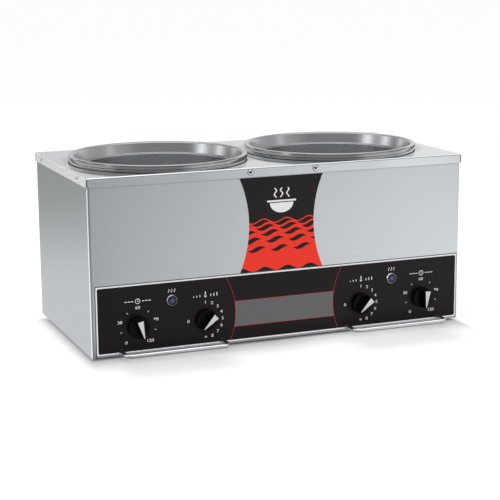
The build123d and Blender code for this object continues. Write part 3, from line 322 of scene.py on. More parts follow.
def brushed_steel(name, grain, colour, rough, lift=None, blur=None):
    """Sheet steel. grain gives how fast the brush marks change along X, Y and Z, in marks a metre.

    lift(x, y, z) says how much lighter or darker the sheet is from place to place, as painted light and
    shade.
    blur(x, y, z) says how much duller it is.
    """
    finish = Finish(name)
    place = finish.place()
    fine = finish.noise(*[axis * marks for axis, marks in zip(place, grain)], 3.0, 0.6)
    wide = finish.noise(*[axis * marks / MARKS_A_BAND for axis, marks in zip(place, grain)])
    smudge = finish.specks(place, SMUDGES, 3.0)
    tone = fine.spread(*BRUSH_TONE) * wide.spread(*BAND_TONE)
    dull = rough + (fine - 0.5) * BRUSH_DULL + (smudge - 0.5) * SMUDGE_DULL
    if lift:
        tone = tone * lift(*place)
    if blur:
        dull = dull + blur(*place)
    return finish.surface({
        "Base Color": finish.scaled(colour, tone),
        "Metallic": 1.0,
        "Roughness": dull,
        "Normal": finish.bump(fine, BRUSH_DEPTH, 0.5),
    })


def paint(material, *names):
    """Gives carried-over pieces their finish."""
    for node_name in names:
        slots = nodes[node_name].data.materials
        slots.clear()
        slots.append(material)


CASING_STEEL = (0.595, 0.625, 0.645)
BEND_HIGHLIGHT_LINE, BEND_FRONT = (0.3 * MM, 1.2 * MM), (1.5 * MM, 2.6 * MM)  # a painted highlight line, in from side and front
BEND_HIGHLIGHT_LIFT = (0.12, 0.80)  # how much lighter that painted highlight is, at the bottom and at the top
BESIDE_BEND, BESIDE_REFLECTION_DARK = 2.4 * MM, 0.30  # a painted dark reflection beside the left one
BESIDE_HALF, BESIDE_SOFT = 1.0 * MM, 0.8 * MM
PANEL_SHADOW_W, PANEL_SHADOW_SOFT, PANEL_SHADOW_DARK = 1.3 * MM, 0.3 * MM, 0.75  # a painted shadow line along the panel's top and sides
PANEL_SHADOW_FRONT = (5 * MM, 8 * MM)
# painted shadow on the casing just below the deck's apron
APRON_SHADOW = (0.8 * MM, 2.6 * MM, 0.80, 1.0)
deck_low, deck_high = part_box("top_deck")
panel_low, panel_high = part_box("control_panel")


def sheet_tone(x, y, z):
    """Painted light and shade: a painted highlight along the front bends, a painted dark reflection beside
    the left one, and painted shadow below the apron and along the panel's top and sides.
    """
    from_side, from_front = case_high.x - abs(x), y - case_low.y
    at_front = from_front.spread(*BEND_FRONT, 1, 0)
    bend = from_side.spread(*BEND_HIGHLIGHT_LINE, 1, 0) * at_front * z.spread(case_low.z, case_high.z, *BEND_HIGHLIGHT_LIFT)
    dark_reflection = (x - case_low.x - BESIDE_BEND).within(BESIDE_HALF, BESIDE_SOFT) * at_front
    panel_middle, panel_half = (panel_low.x + panel_high.x) / 2, (panel_high.x - panel_low.x) / 2
    past_panel = (abs(x - panel_middle) - panel_half).most(z - panel_high.z)
    panel_shadow = (past_panel - PANEL_SHADOW_W / 2).within(PANEL_SHADOW_W / 2, PANEL_SHADOW_SOFT) * from_front.spread(*PANEL_SHADOW_FRONT, 1, 0)
    tone = (1 + bend) * (1 - dark_reflection * BESIDE_REFLECTION_DARK) * (1 - panel_shadow * PANEL_SHADOW_DARK)
    return tone * (deck_low.z - z).spread(*APRON_SHADOW)


LEVEL_BRUSH, ACROSS_BRUSH = (11, 11, 2600), (11, 2600, 2600)  # on upright sheets, and on flat ones
CASING_ROUGH, BASE_ROUGH = 0.30, 0.36
casing_steel = brushed_steel("casing_steel", LEVEL_BRUSH, CASING_STEEL, CASING_ROUGH, sheet_tone)
paint(casing_steel, "wrapper", "back_panel")
paint(brushed_steel("base_steel", ACROSS_BRUSH, CASING_STEEL, BASE_ROUGH), "base_plate")

# Feet: four turned rubber feet under the base, each with a recess for its screw.
# The rubber is matt black, greyed a little by dust.
NEAR = 0.02 * MM  # how near a vertex lies to the ring or plane that it is picked by
BEND_STEPS = 5


def pick(piece, chosen):
    """Opens a piece in edit mode, with just the vertices selected that chosen(point) takes."""
    bpy.ops.object.mode_set(mode="EDIT")
    bpy.ops.mesh.select_all(action="DESELECT")
    bpy.ops.object.mode_set(mode="OBJECT")
    for vertex in piece.data.vertices:
        vertex.select = bool(chosen(vertex.co))
    bpy.ops.object.mode_set(mode="EDIT")


def open_all():
    """Opens the active piece in edit mode, with all of it selected."""
    bpy.ops.object.mode_set(mode="EDIT")
    bpy.ops.mesh.select_all(action="SELECT")


def weld():
    """Joins the vertices of the open piece that lie in one place."""
    bpy.ops.mesh.select_all(action="SELECT")
    bpy.ops.mesh.remove_doubles(threshold=NEAR / 10)


def close_all():
    """Turns all faces of the open piece outwards, and closes it."""
    bpy.ops.mesh.select_all(action="SELECT")
    bpy.ops.mesh.normals_make_consistent(inside=False)
    bpy.ops.object.mode_set(mode="OBJECT")


def turned(name, outline, bends, steps, closed=True):
    """A piece turned about Z, drawn out ring by ring from a circle.

    outline lists (radius, height) ring by ring, and bends gives (ring number, bend radius).
    A closed piece is capped where it starts, unless its outline comes back there.
    """
    deselect()
    radius, height = outline[0]
    bpy.ops.mesh.primitive_circle_add(vertices=steps, radius=radius)
    piece = bpy.context.active_object
    piece.name = name
    open_all()
    bpy.ops.transform.translate(value=(0, 0, height))
    if closed and outline[-1] != outline[0]:
        bpy.ops.mesh.edge_face_add()
        bpy.ops.mesh.select_all(action="SELECT")
        bpy.ops.mesh.region_to_loop()
    for wide, high in outline[1:]:
        bpy.ops.mesh.extrude_edges_move(TRANSFORM_OT_translate={"value": (0, 0, high - height)})
        if wide == 0:
            bpy.ops.mesh.merge(type="CENTER")
        else:
            bpy.ops.transform.resize(value=(wide / radius, wide / radius, 1), center_override=(0, 0, high))
        radius, height = wide, high
    weld()
    for ring, bend in bends:
        wide, high = outline[ring]
        pick(piece, lambda p: abs(hypot(p.x, p.y) - wide) < NEAR and abs(p.z - high) < NEAR)
        bpy.ops.mesh.bevel(offset=bend, segments=BEND_STEPS, affect="EDGES", clamp_overlap=True)
    close_all()
    return piece


FACING = {
    "up": Matrix.Identity(4),
    "down": Matrix.Rotation(pi, 4, "X"),
    "front": Matrix.Rotation(pi / 2, 4, "X"),
    "back": Matrix.Rotation(-pi / 2, 4, "X"),
    "left": Matrix.Rotation(-pi / 2, 4, "Y"),
    "right": Matrix.Rotation(pi / 2, 4, "Y"),
}


def seat(piece, spot, facing="up", clockwise=0.0):
    """Moves a piece's mesh to its place, turned to face one side and then turned clockwise as seen there."""
    turn = FACING[facing] @ Matrix.Rotation(-clockwise, 4, "Z")
    piece.data.transform(Matrix.Translation(spot) @ turn)
    return piece


def copy_of(piece, name):
    """A second piece with a mesh of its own."""
    twin = piece.copy()
    twin.data = piece.data.copy()
    twin.name = name
    bpy.context.scene.collection.objects.link(twin)
    return twin


def drop(piece):
    """Removes a piece that was only a pattern or a cutter."""
    bpy.data.objects.remove(piece)


def select(*pieces):
    """Selects just these pieces, with the first one active."""
    deselect()
    for piece in pieces:
        piece.select_set(True)
    bpy.context.view_layer.objects.active = pieces[0]


SMOOTH_UNDER = radians(38)


def fit(piece, finishes, body, slot, *replaced):
    """Finishes a modelled piece and puts it on a body, in place of the CAD nodes named last.

    finishes is one material, or one for each of its kinds of face.
    """
    select(piece)
    bpy.ops.object.shade_smooth_by_angle(angle=SMOOTH_UNDER)
    for material in finishes if isinstance(finishes, tuple) else (finishes,):
        piece.data.materials.append(material)
    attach(piece, body)
    if replaced:
        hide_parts(*replaced)


PATCHES, PATCH_WORN = 28, (0.45, 0.8)  # a metre, and how strong a patch starts to show and shows in full
PATCH_DULL, GRAIN_DULL = 0.14, 0.08


def moulded(name, colour, worn, rough, marks=900, depth=0.04 * MM, shine=0.5):
    """Rubber or plastic with a fine moulded grain, and a second colour where it is dusty or worn."""
    finish = Finish(name)
    place = finish.place()
    grain = finish.specks(place, marks, 3.0)
    patch = finish.specks(place, PATCHES, 3.0, 0.6)
    return finish.surface({
        "Base Color": finish.mix(patch.spread(*PATCH_WORN), (*colour, 1), (*worn, 1)),
        "Roughness": rough + (patch - 0.5) * PATCH_DULL + (grain - 0.5) * GRAIN_DULL,
        "Specular IOR Level": shine,
        "Normal": finish.bump(grain, depth, 0.4),
    })


FOOT_R, FOOT_SOLE_R = 11.0 * MM, 9.5 * MM
FOOT_RECESS_R, FOOT_RECESS = 4.2 * MM, 2.4 * MM
FOOT_HOLE_R = 1.8 * MM
FOOT_EDGE, FOOT_STEPS = 0.8 * MM, 64
feet_low, feet_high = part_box("rubber_feet")
foot_top = feet_high.z
foot_outline = [
    (FOOT_HOLE_R, FOOT_RECESS), (FOOT_RECESS_R, FOOT_RECESS), (FOOT_RECESS_R, 0), (FOOT_SOLE_R, 0),
    (FOOT_R, foot_top), (FOOT_HOLE_R, foot_top), (FOOT_HOLE_R, FOOT_RECESS),
]
foot_rubber = moulded("foot_rubber", (0.018, 0.018, 0.019), (0.06, 0.058, 0.055), 0.72)
foot_pattern = turned("foot", foot_outline, [(3, FOOT_EDGE), (4, FOOT_EDGE / 2)], FOOT_STEPS)
foot_spots = []
for x in (feet_low.x + FOOT_R, feet_high.x - FOOT_R):
    foot_spots += [(x, y) for y in (feet_low.y + FOOT_R, feet_high.y - FOOT_R)]
for number, (x, y) in enumerate(foot_spots):
    foot = seat(copy_of(foot_pattern, f"foot_{number + 1}"), (x, y, 0))
    fit(foot, foot_rubber, "case", "rubber_black", "rubber_feet")
drop(foot_pattern)

# Screws: plated pan heads with a cross recess, through the apron, the back, the base and the feet.
# Each is turned, its recess is cut by two crossed bars, and the recess is painted near black as shade.
CLOUDS, CLOUD_TONE, CLOUD_DULL = 160, (0.25, 0.75, 0.90, 1.0), 0.12
PLATE_SPECKS, SPECK_DEPTH = 2400, 0.008 * MM


def plated(name, colour, rough, lift=None):
    """Bright plated steel with faint clouding.

    lift(x, y, z) says how much lighter or darker it is from place to place, as painted light and shade.
    """
    finish = Finish(name)
    place = finish.place()
    cloud = finish.specks(place, CLOUDS, 4.0, 0.6)
    speck = finish.specks(place, PLATE_SPECKS)
    tone = cloud.spread(*CLOUD_TONE)
    if lift:
        tone = tone * lift(*place)
    return finish.surface({
        "Base Color": finish.scaled(colour, tone),
        "Metallic": 1.0,
        "Roughness": rough + (cloud - 0.5) * CLOUD_DULL,
        "Normal": finish.bump(speck, SPECK_DEPTH, 0.4),
    })


def cut_away(piece, cutter):
    """Cuts one mesh out of another, and removes the cutter."""
    cut = piece.modifiers.new("cut", "BOOLEAN")
    cut.operation = "DIFFERENCE"
    cut.object = cutter
    cut.solver = "EXACT"
    bpy.context.view_layer.objects.active = piece
    bpy.ops.object.modifier_apply(modifier="cut")
    drop(cutter)


RECESS_L, RECESS_W, RECESS_DEPTH, RECESS_RIM = 4.8 * MM, 2.1 * MM, 1.5 * MM, 0.1 * MM
RECESS_TAPER = (0.45, 0.6, 1)  # how much of its size is left at its bottom
HEAD_SHOULDER = 0.15  # share of a head's height that is upright
HEAD_RINGS, HEAD_EDGE, SCREW_STEPS = 6, 0.1 * MM, 40


def cross_screw(name, head_r, head_h, shank_r, shank_l):
    """A pan-head screw that stands on its seat, with its shank below."""
    outline = [(shank_r, -shank_l), (shank_r, 0), (head_r, 0)]
    shoulder = head_h * HEAD_SHOULDER
    for step in range(HEAD_RINGS):
        lean = step * pi / (2 * HEAD_RINGS)
        outline.append((head_r * cos(lean), shoulder + (head_h - shoulder) * sin(lean)))
    outline.append((0, head_h))
    screw = turned(name, outline, [(2, HEAD_EDGE)], SCREW_STEPS)
    for turn in (0, pi / 2):
        deselect()
        bpy.ops.mesh.primitive_cube_add(size=1)
        bar = bpy.context.active_object
        bar.data.transform(Matrix.Diagonal((RECESS_L, RECESS_W, 2 * RECESS_DEPTH, 1)))
        pick(bar, lambda p: p.z < 0)
        bpy.ops.transform.resize(value=RECESS_TAPER, center_override=(0, 0, -RECESS_DEPTH))
        bpy.ops.object.mode_set(mode="OBJECT")
        seat(bar, (0, 0, head_h), "up", turn)
        cut_away(screw, bar)
    # The faces inside the recess take the second finish, near black, as painted shade.
    for face in screw.data.polygons:
        out = hypot(face.center.x, face.center.y)
        dome = shoulder + (head_h - shoulder) * sqrt(max(0, 1 - (out / head_r) ** 2))
        sunk = head_h - RECESS_DEPTH - NEAR < face.center.z < dome - RECESS_RIM
        face.material_index = int(sunk and out < RECESS_L / 2 + NEAR)
    return screw


HEAD_R, HEAD_H, SHANK_R = 3.4 * MM, 1.9 * MM, 1.6 * MM
PAN_R = 3.8 * MM  # the heads are drawn a little wider than the CAD's HEAD_R, which places them
FOOT_HEAD_R = 4.0 * MM
SHANK_L = 5.0 * MM
screw_zinc = plated("screw_zinc", (0.78, 0.79, 0.80), 0.12)
# A near-black finish painted in the recesses as their shade.
recess_shade = plated("recess_shade", (0.02, 0.02, 0.02), 0.5)
screw_pattern = cross_screw("screw", PAN_R, HEAD_H, SHANK_R, SHANK_L)
foot_screw_pattern = cross_screw("foot_screw", FOOT_HEAD_R, HEAD_H, SHANK_R, SHANK_L)


def drive_screws(pattern, node_name, spots):
    """Puts copies of a screw at each (place, side it faces, turn of its recess), for one CAD group."""
    for number, (spot, facing, turn) in enumerate(spots):
        screw = seat(copy_of(pattern, f"{node_name}_{number + 1}"), spot, facing, turn)
        fit(screw, (screw_zinc, recess_shade), "case", "zinc_steel", node_name)


NEXT_TURN = 37  # degrees from one recess to the next


def turn_of(number):
    """A turn for the recess of each screw, different from the last one's."""
    return radians(NEXT_TURN * number % 90)


DECK_SCREW_X, DECK_SCREW_Y = 47.0 * MM, 93.0 * MM
apron_z = (deck_low.z + deck_high.z) / 2
deck_spots = []
for sign in (-1, 1):
    deck_spots.append(((sign * DECK_SCREW_X, deck_low.y, apron_z), "front"))
    deck_spots.append(((sign * DECK_SCREW_X, deck_high.y, apron_z), "back"))
    for step in (-DECK_SCREW_Y, DECK_SCREW_Y):
        side_x, side = (deck_low.x, "left") if sign < 0 else (deck_high.x, "right")
        deck_spots.append(((side_x, case_middle.y + step, apron_z), side))
drive_screws(screw_pattern, "deck_screws", [(*spot, turn_of(n)) for n, spot in enumerate(deck_spots)])

low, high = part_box("back_screws")
back_spots = []
for x in (low.x + HEAD_R, high.x - HEAD_R):
    for z in (low.z + HEAD_R, (low.z + high.z) / 2, high.z - HEAD_R):
        back_spots.append(((x, back_high.y, z), "back", turn_of(len(back_spots))))
drive_screws(screw_pattern, "back_screws", back_spots)

BASE_SCREW_X, BASE_SCREW_Y = 161.7 * MM, 62.0 * MM
low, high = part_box("base_screws")
base_spots = []
for y in (low.y + HEAD_R, high.y - HEAD_R):
    base_spots += [(x, y) for x in (-BASE_SCREW_X, 0, BASE_SCREW_X)]
for x in (low.x + HEAD_R, high.x - HEAD_R):
    base_spots += [(x, case_middle.y + y) for y in (-BASE_SCREW_Y, BASE_SCREW_Y)]
base_spots = [((x, y, case_low.z), "down", turn_of(n)) for n, (x, y) in enumerate(base_spots)]
drive_screws(screw_pattern, "base_screws", base_spots)
foot_screw_spots = [((x, y, FOOT_RECESS), "down", turn_of(n)) for n, (x, y) in enumerate(foot_spots)]
drive_screws(foot_screw_pattern, "foot_screws", foot_screw_spots)
drop(screw_pattern)
drop(foot_screw_pattern)

# Wells: drawn stainless pots that hang from a rolled lip on the deck, with a step for the inset.
# Their wall is thin sheet, dulled by heat and by the water that they hold.
SHELL_STEPS = 224
WELL_R, SEAT_R, LIP_R = 108.4 * MM, 118.0 * MM, 122.2 * MM
WELL_T = 0.8 * MM
WELL_DEPTH, SEAT_DEPTH, LIP_H = 207.9 * MM, 8.6 * MM, 1.8 * MM
WELL_CORNER = 22.0 * MM
LIP_BEND = 0.5 * MM
deck_top = deck_high.z


def middle_of(node_name):
    """The middle of a CAD piece's box."""
    low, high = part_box(node_name)
    return (low + high) / 2


def thicken(piece, thickness):
    """Gives a shell its sheet, behind the side that shows, which looks up at the shell's floor."""
    floor_face = min(piece.data.polygons, key=lambda face: (face.center.z, face.center.xy.length))
    if floor_face.normal.z < 0:
        piece.data.flip_normals()
    sheet = piece.modifiers.new("sheet", "SOLIDIFY")
    sheet.thickness = thickness
    sheet.offset = -1
    bpy.context.view_layer.objects.active = piece
    bpy.ops.object.modifier_apply(modifier="sheet")


SPUN_STEEL = (0.50, 0.515, 0.53)
RINGS, RING_BANDS, RING_DRIFT, STAINS = 2400, 300, 6, 22  # all a metre
RING_TONE, RING_BAND_TONE, STAIN_FROM = (0.2, 0.8, 0.965, 1.0), (0.3, 0.7, 0.98, 1.0), (0.45, 0.75)
RING_DULL, CLOUD_STAIN, STAIN_DULL = 0.05, 0.03, 0.4
# how dark the painted shade makes the sheet
PAINTED_SHADE_DARK = 0.75
BRIGHT_ROUGH, BRIGHT_EDGE = 0.14, 0.5 * MM


def spun_steel(name, middle, rough, stain, shaded, bright_from, highlight_lift):
    """Drawn steel polished on a lathe: fine rings about an upright axis, and water marks.

    The third argument, a function of out and z, is 1 where shade is painted onto the sheet, darkening it.
    Further out than bright_from the steel is polished, with lower roughness, and a painted highlight makes
    it lighter by the last argument.
    """
    finish = Finish(name)
    x, y, z = finish.place()
    x, y = x - middle.x, y - middle.y
    out = (x * x + y * y).root()
    rings = finish.noise(out * RINGS, z * RINGS, x * RING_DRIFT + y * RING_DRIFT, 3.0, 0.6)
    bands = finish.noise(out * RING_BANDS, z * RING_BANDS, 0.0)
    cloud = finish.specks((x, y, z), STAINS, 4.0, 0.6).spread(*STAIN_FROM)
    bright = out.spread(bright_from - BRIGHT_EDGE, bright_from + BRIGHT_EDGE)
    tone = rings.spread(*RING_TONE) * bands.spread(*RING_BAND_TONE) * (1 - cloud * stain)
    # Painted shade where the third argument says, and a painted highlight on the polished part.
    tone = tone * (1 - shaded(out, z) * PAINTED_SHADE_DARK) * (1 + bright * highlight_lift)
    dull = rough + bright * (BRIGHT_ROUGH - rough) + (rings - 0.5) * RING_DULL
    return finish.surface({
        "Base Color": finish.scaled(SPUN_STEEL, tone),
        "Metallic": 1.0,
        "Roughness": dull + cloud * (CLOUD_STAIN + stain * STAIN_DULL),
        "Normal": finish.bump(rings, BRUSH_DEPTH, 0.3),
    })


# The last of these is how much a painted highlight lightens the lip.
WELL_ROUGH, WELL_STAIN, LIP_HIGHLIGHT = 0.30, 0.14, 0.45
LIP_INNER = SEAT_R + 1.0 * MM  # the lip is polished, and lightened by a painted highlight, from here out
LIP_SHADE = (LIP_H - 0.3 * MM, LIP_H - 0.1 * MM)


def lip_top(out, z):
    """Shade painted on the top of a lip, which the inset's rim covers."""
    return (z - deck_top).spread(*LIP_SHADE)


for side in SIDES:
    middle = middle_of(f"{side}_inset")
    well_floor = deck_top - WELL_DEPTH
    outline = [
        (LIP_R, deck_top), (LIP_R, deck_top + LIP_H), (SEAT_R, deck_top + LIP_H),
        (SEAT_R, deck_top - SEAT_DEPTH), (WELL_R, deck_top - SEAT_DEPTH),
        (WELL_R, well_floor), (0, well_floor),
    ]
    bends = [(1, LIP_BEND), (2, LIP_BEND), (3, LIP_BEND), (4, LIP_BEND), (5, WELL_CORNER)]
    well = turned(f"{side}_pot", outline, bends, SHELL_STEPS, closed=False)
    thicken(well, WELL_T)
    seat(well, (middle.x, middle.y, 0))
    well_finish = (WELL_ROUGH, WELL_STAIN, lip_top, LIP_INNER, LIP_HIGHLIGHT)
    well_steel = spun_steel(f"{side}_well_steel", middle, *well_finish)
    fit(well, well_steel, "case", "stainless_drawn", f"{side}_well")

# Deck: one stainless sheet with its edges bent down as an apron and open seams at its corners.
# It is brushed from side to side, with painted highlights on its side aprons and bends, and painted shade on
# its long aprons, in its seams, round its screws and round its wells.
DECK_STEEL, DECK_ROUGH = (0.59, 0.615, 0.635), 0.08
END_EDGE, END_HIGHLIGHT, END_BLUR = (0.4 * MM, 1.6 * MM), 1.7, 0.42  # the side aprons, in from the deck's ends: their painted highlight and their extra roughness
LONG_EDGE = (1.2 * MM, 2.2 * MM)  # the front and back aprons, in from the deck's long edges
BEND_DOWN = (1.2 * MM, 2.0 * MM)  # how far down those bends reach
DECK_BEND_HIGHLIGHT = (-0.15, 0.0, 0.62, 0.36)  # from where to where along X, and how much lighter the painted highlight on the bend is at each
APRON_SHADE = (0.08, 0.25, 0.14, 0.05)  # the same for the painted shade on the apron below it
SEAM_W, SEAM_SHADE_DOWN = (0.5 * MM, 1.2 * MM), (2.0 * MM, 2.6 * MM, 0, 0.7)  # the open seams at the corners, with painted shade in them
SCREW_SHADOW_RING = (0.2 * MM, 1.3 * MM, 0.55, 0)  # painted shadow round a screw's head
WELL_SHADE_RING = (0, 16 * MM, 0.48, 1.0)  # painted shade round a well's lip


def apart(first, second):
    """The distance from a point, from its parts along two axes."""
    return (first * first + second * second).root()


def brush_ends(x, y, z):
    """Painted highlights on the side aprons and along the bends at the deck's long edges, and painted shade
    on the aprons below those bends, in the open seams, round the screws and round the wells.
    """
    from_end = deck_high.x - abs(x)
    from_edge = (deck_high.y - deck_low.y) / 2 - abs(y - case_middle.y)
    on_end, on_long = from_end.spread(*END_EDGE, 1, 0), from_edge.spread(*LONG_EDGE, 1, 0)
    bend = on_long * (deck_top - z).spread(*BEND_DOWN, 1, 0)
    tone = from_end.spread(*END_EDGE, END_HIGHLIGHT, 1.0)
    tone = tone * (1 + bend * x.spread(*DECK_BEND_HIGHLIGHT) - (on_long - bend) * x.spread(*APRON_SHADE))
    seam_shade = from_end.spread(*SEAM_W, 1, 0) * from_edge.spread(*SEAM_W, 1, 0)
    tone = tone * (1 - seam_shade * (deck_top - z).spread(*SEAM_SHADE_DOWN))
    screws = ((x, DECK_SCREW_X, on_long), (y - case_middle.y, DECK_SCREW_Y, on_end))
    for from_middle, along, on_apron in screws:
        screw_shadow = (apart(abs(from_middle) - along, z - apron_z) - PAN_R).spread(*SCREW_SHADOW_RING)
        tone = tone * (1 - screw_shadow * on_apron)
    for side in SIDES:
        middle = middle_of(f"{side}_inset")
        from_well = apart(x - middle.x, y - middle.y)
        tone = tone * (from_well - LIP_R).spread(*WELL_SHADE_RING)
    return tone


def brush_scatter(x, y, z):
    """Where the marks end they also scatter more of the light."""
    return (deck_high.x - abs(x)).spread(*END_EDGE, END_BLUR, 0.0)


deck_steel = brushed_steel("deck_steel", ACROSS_BRUSH, DECK_STEEL, DECK_ROUGH, brush_ends, brush_scatter)
paint(deck_steel, "top_deck")

# Insets: drawn stainless pots that lift out, with a rolled rim, a flared collar and a ledge.
# Each hangs in its well by the rim, and is spun bright on its rim, with a painted highlight there, and satin
# inside.
RIM_R, COLLAR_R, INSET_R = 123.9 * MM, 116.4 * MM, 105.2 * MM
INSET_T = 0.8 * MM
RIM_LOW, RIM_TOP = 2.6 * MM, 8.3 * MM
RIM_LEAN = 0.7 * MM  # the rim is narrower by this at its top
BRIM_DIP = 0.3 * MM  # how far the brim slopes down to the inside
LEDGE_Z = -7.5 * MM
COLLAR_FLARE = 3.0 * MM  # the collar is narrower by this at the ledge
RIM_BEND, BRIM_BEND, COVE_BEND, LEDGE_BEND, INSET_CORNER = 1.5 * MM, 2.0 * MM, 0.8 * MM, 0.8 * MM, 20.0 * MM
# The last of these is how much a painted highlight lightens the rim.
INSET_ROUGH, INSET_STAIN, RIM_HIGHLIGHT = 0.27, 0.0, 0.25
RIM_INNER = COLLAR_R + 1.5 * MM  # the rim is polished, and lightened by a painted highlight, from here out
BRIM_FROM, BRIM_UP = (0.3 * MM, 1.0 * MM), (-0.9 * MM, -0.5 * MM)  # from the collar and from the top
BRIM_SHADE = 0.48  # how much of the hollow's painted shade is also painted on the brim
HOLLOW_FROM, HOLLOW_TO = (0.5 * MM, 1.0 * MM), (-0.6 * MM, -0.3 * MM)  # from the collar and the rim
HOLLOW_UP = (-1.3 * MM, -0.9 * MM)


def under_rim(out, z):
    """Shade painted in the hollow under a rim, and at about half strength on the brim on its top."""
    past_collar, past_rim, over_top = out - COLLAR_R, out - RIM_R, z - deck_top - RIM_TOP
    brim = past_collar.spread(*BRIM_FROM) * over_top.spread(*BRIM_UP)
    hollow = past_collar.spread(*HOLLOW_FROM) * past_rim.spread(*HOLLOW_TO, 1, 0)
    return hollow * over_top.spread(*HOLLOW_UP, 1, 0) + brim * BRIM_SHADE


for side in SIDES:
    middle = middle_of(f"{side}_inset")
    inset_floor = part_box(f"{side}_inset")[0].z + INSET_T
    outline = [
        (RIM_R, deck_top + RIM_LOW), (RIM_R - RIM_LEAN, deck_top + RIM_TOP),
        (COLLAR_R, deck_top + RIM_TOP - BRIM_DIP), (COLLAR_R - COLLAR_FLARE, deck_top + LEDGE_Z),
        (INSET_R, deck_top + LEDGE_Z), (INSET_R, inset_floor), (0, inset_floor),
    ]
    bends = [(1, RIM_BEND), (2, BRIM_BEND), (3, COVE_BEND), (4, LEDGE_BEND), (5, INSET_CORNER)]
    inset = turned(f"{side}_pan", outline, bends, SHELL_STEPS, closed=False)
    thicken(inset, INSET_T)
    seat(inset, (middle.x, middle.y, 0))
    inset_finish = (INSET_ROUGH, INSET_STAIN, under_rim, RIM_INNER, RIM_HIGHLIGHT)
    inset_steel = spun_steel(f"{side}_inset_steel", middle, *inset_finish)
    fit(inset, inset_steel, f"{side}_inset", "stainless_drawn", f"{side}_inset")

# Heating: a sheathed ring element under each well, held by a pressed plate, with a limit switch beside it
# and mineral wool round the well. None of it shows from outside.
element_steel = plated("element_steel", (0.34, 0.31, 0.28), 0.46)
plate_steel = plated("plate_steel", (0.60, 0.61, 0.62), 0.48)
wool = moulded("wool", (0.52, 0.46, 0.30), (0.66, 0.62, 0.48), 0.92, 420, 1.2 * MM)
control_resin = moulded("control_resin", (0.05, 0.045, 0.04), (0.09, 0.08, 0.07), 0.5)
for side in SIDES:
    paint(element_steel, f"{side}_heater_element")
    paint(plate_steel, f"{side}_heater_plate")
    paint(control_resin, f"{side}_limit_switch")
    paint(wool, f"{side}_insulation")
paint(screw_zinc, "heater_nuts")

# Controls: a thermostat with its bulb on a capillary and a clockwork timer for each well.
# Each is held to the front by a nut on its bush.
brass = plated("brass", (0.62, 0.43, 0.20), 0.34)
shaft_steel = plated("shaft_steel", (0.66, 0.66, 0.65), 0.28)
for side in SIDES:
    paint(control_resin, f"{side}_thermostat", f"{side}_timer")
    paint(brass, f"{side}_thermostat_bulb")
    paint(shaft_steel, f"{side}_temperature_shaft", f"{side}_timer_shaft")
paint(screw_zinc, "control_nuts")

# Panel: a silver plate on the front, and on it a black printed film that leaves a silver border.
# The film has a fine grain, a grey field between thin red lines in the middle, and pale scales at the dials.
INK_EDGE = 0.15 * MM
FIELD_LOW, FIELD_HIGH = 22.8 * MM, 57.5 * MM  # above the casing's bottom
ARC_WAIST, ARC_WAIST_Z = 71.8 * MM, 42.5 * MM
ARC_SPREAD = 5.4  # how much wider the red arcs are apart away from their waist, per metre squared
ARC_LINE, FIELD_LINE = 0.45 * MM, 0.45 * MM
overlay_low, overlay_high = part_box("panel_overlay")
panel_x = (overlay_low.x + overlay_high.x) / 2
PANEL_BLACK, FIELD_GREY = (0.0085, 0.006, 0.0064, 1), (0.13, 0.13, 0.134, 1)
LINE_RED = (0.60, 0.03, 0.03, 1)
FILM_MARKS, FILM_ROUGH, FILM_DULL, FILM_SHINE, FILM_DEPTH = 1800, 0.34, 0.10, 0.17, 0.02 * MM
border_silver = moulded("border_silver", (0.86, 0.87, 0.88), (0.82, 0.83, 0.84), 0.38, 1600, 0.01 * MM)
paint(border_silver, "control_panel")
film = Finish("panel_film")
film_place = film.place()
u, v = film_place[0] - panel_x, film_place[2] - case_low.z
from_waist = v - ARC_WAIST_Z
arc = abs(u) - ARC_WAIST - from_waist * from_waist * ARC_SPREAD
in_arcs = arc.spread(-INK_EDGE, 0, 1, 0)
field_middle, field_half = (FIELD_LOW + FIELD_HIGH) / 2, (FIELD_HIGH - FIELD_LOW) / 2
in_field = (v - field_middle).within(field_half, INK_EDGE) * in_arcs
red = arc.within(ARC_LINE / 2, INK_EDGE)
for edge in (FIELD_LOW, FIELD_HIGH):
    red = red.most((v - edge).within(FIELD_LINE / 2, INK_EDGE) * in_arcs)
film_grain = film.specks(film_place, FILM_MARKS)
film_colour = film.mix(in_field, PANEL_BLACK, FIELD_GREY)
paint(film.surface({
    "Base Color": film.mix(red, film_colour, LINE_RED),
    "Roughness": FILM_ROUGH + (film_grain - 0.5) * FILM_DULL,
    "Specular IOR Level": FILM_SHINE,
    "Normal": film.bump(film_grain, FILM_DEPTH, 0.35),
}), "panel_overlay")

INK_T = 0.04 * MM
DIGIT_H, DIGIT_WIDEN, DIGIT_BOLD = 4.1 * MM, 1.22, 0.010
TICK_W, TICK_L = 0.75 * MM, 2.6 * MM
TIMER_NUMBER_R, TIMER_TICK_R = 26.0 * MM, 24.0 * MM
TIMER_NUMBERS = (("0", -140), ("30", -72), ("60", 0), ("90", 72), ("120", 140))
TIMER_TICKS = (-104, -37, 36, 104)
TEMPERATURE_NUMBER_R = 24.3 * MM
TEMPERATURE_NUMBERS = [("0", -90)] + [(str(n), 22.5 * (n - 1)) for n in range(1, 10)]
film_y = overlay_low.y
ink = moulded("pale_ink", (0.74, 0.74, 0.73), (0.68, 0.68, 0.67), 0.5, 1500, 0.01 * MM)


def draw_out(*move):
    """Draws the selected faces of the open piece out by a move along X, Y and Z."""
    bpy.ops.mesh.extrude_region_move(TRANSFORM_OT_translate={"value": move})


def raise_ink(piece):
    """Gives flat print its thickness."""
    select(piece)
    open_all()
    weld()
    draw_out(0, 0, INK_T)
    close_all()
    return piece


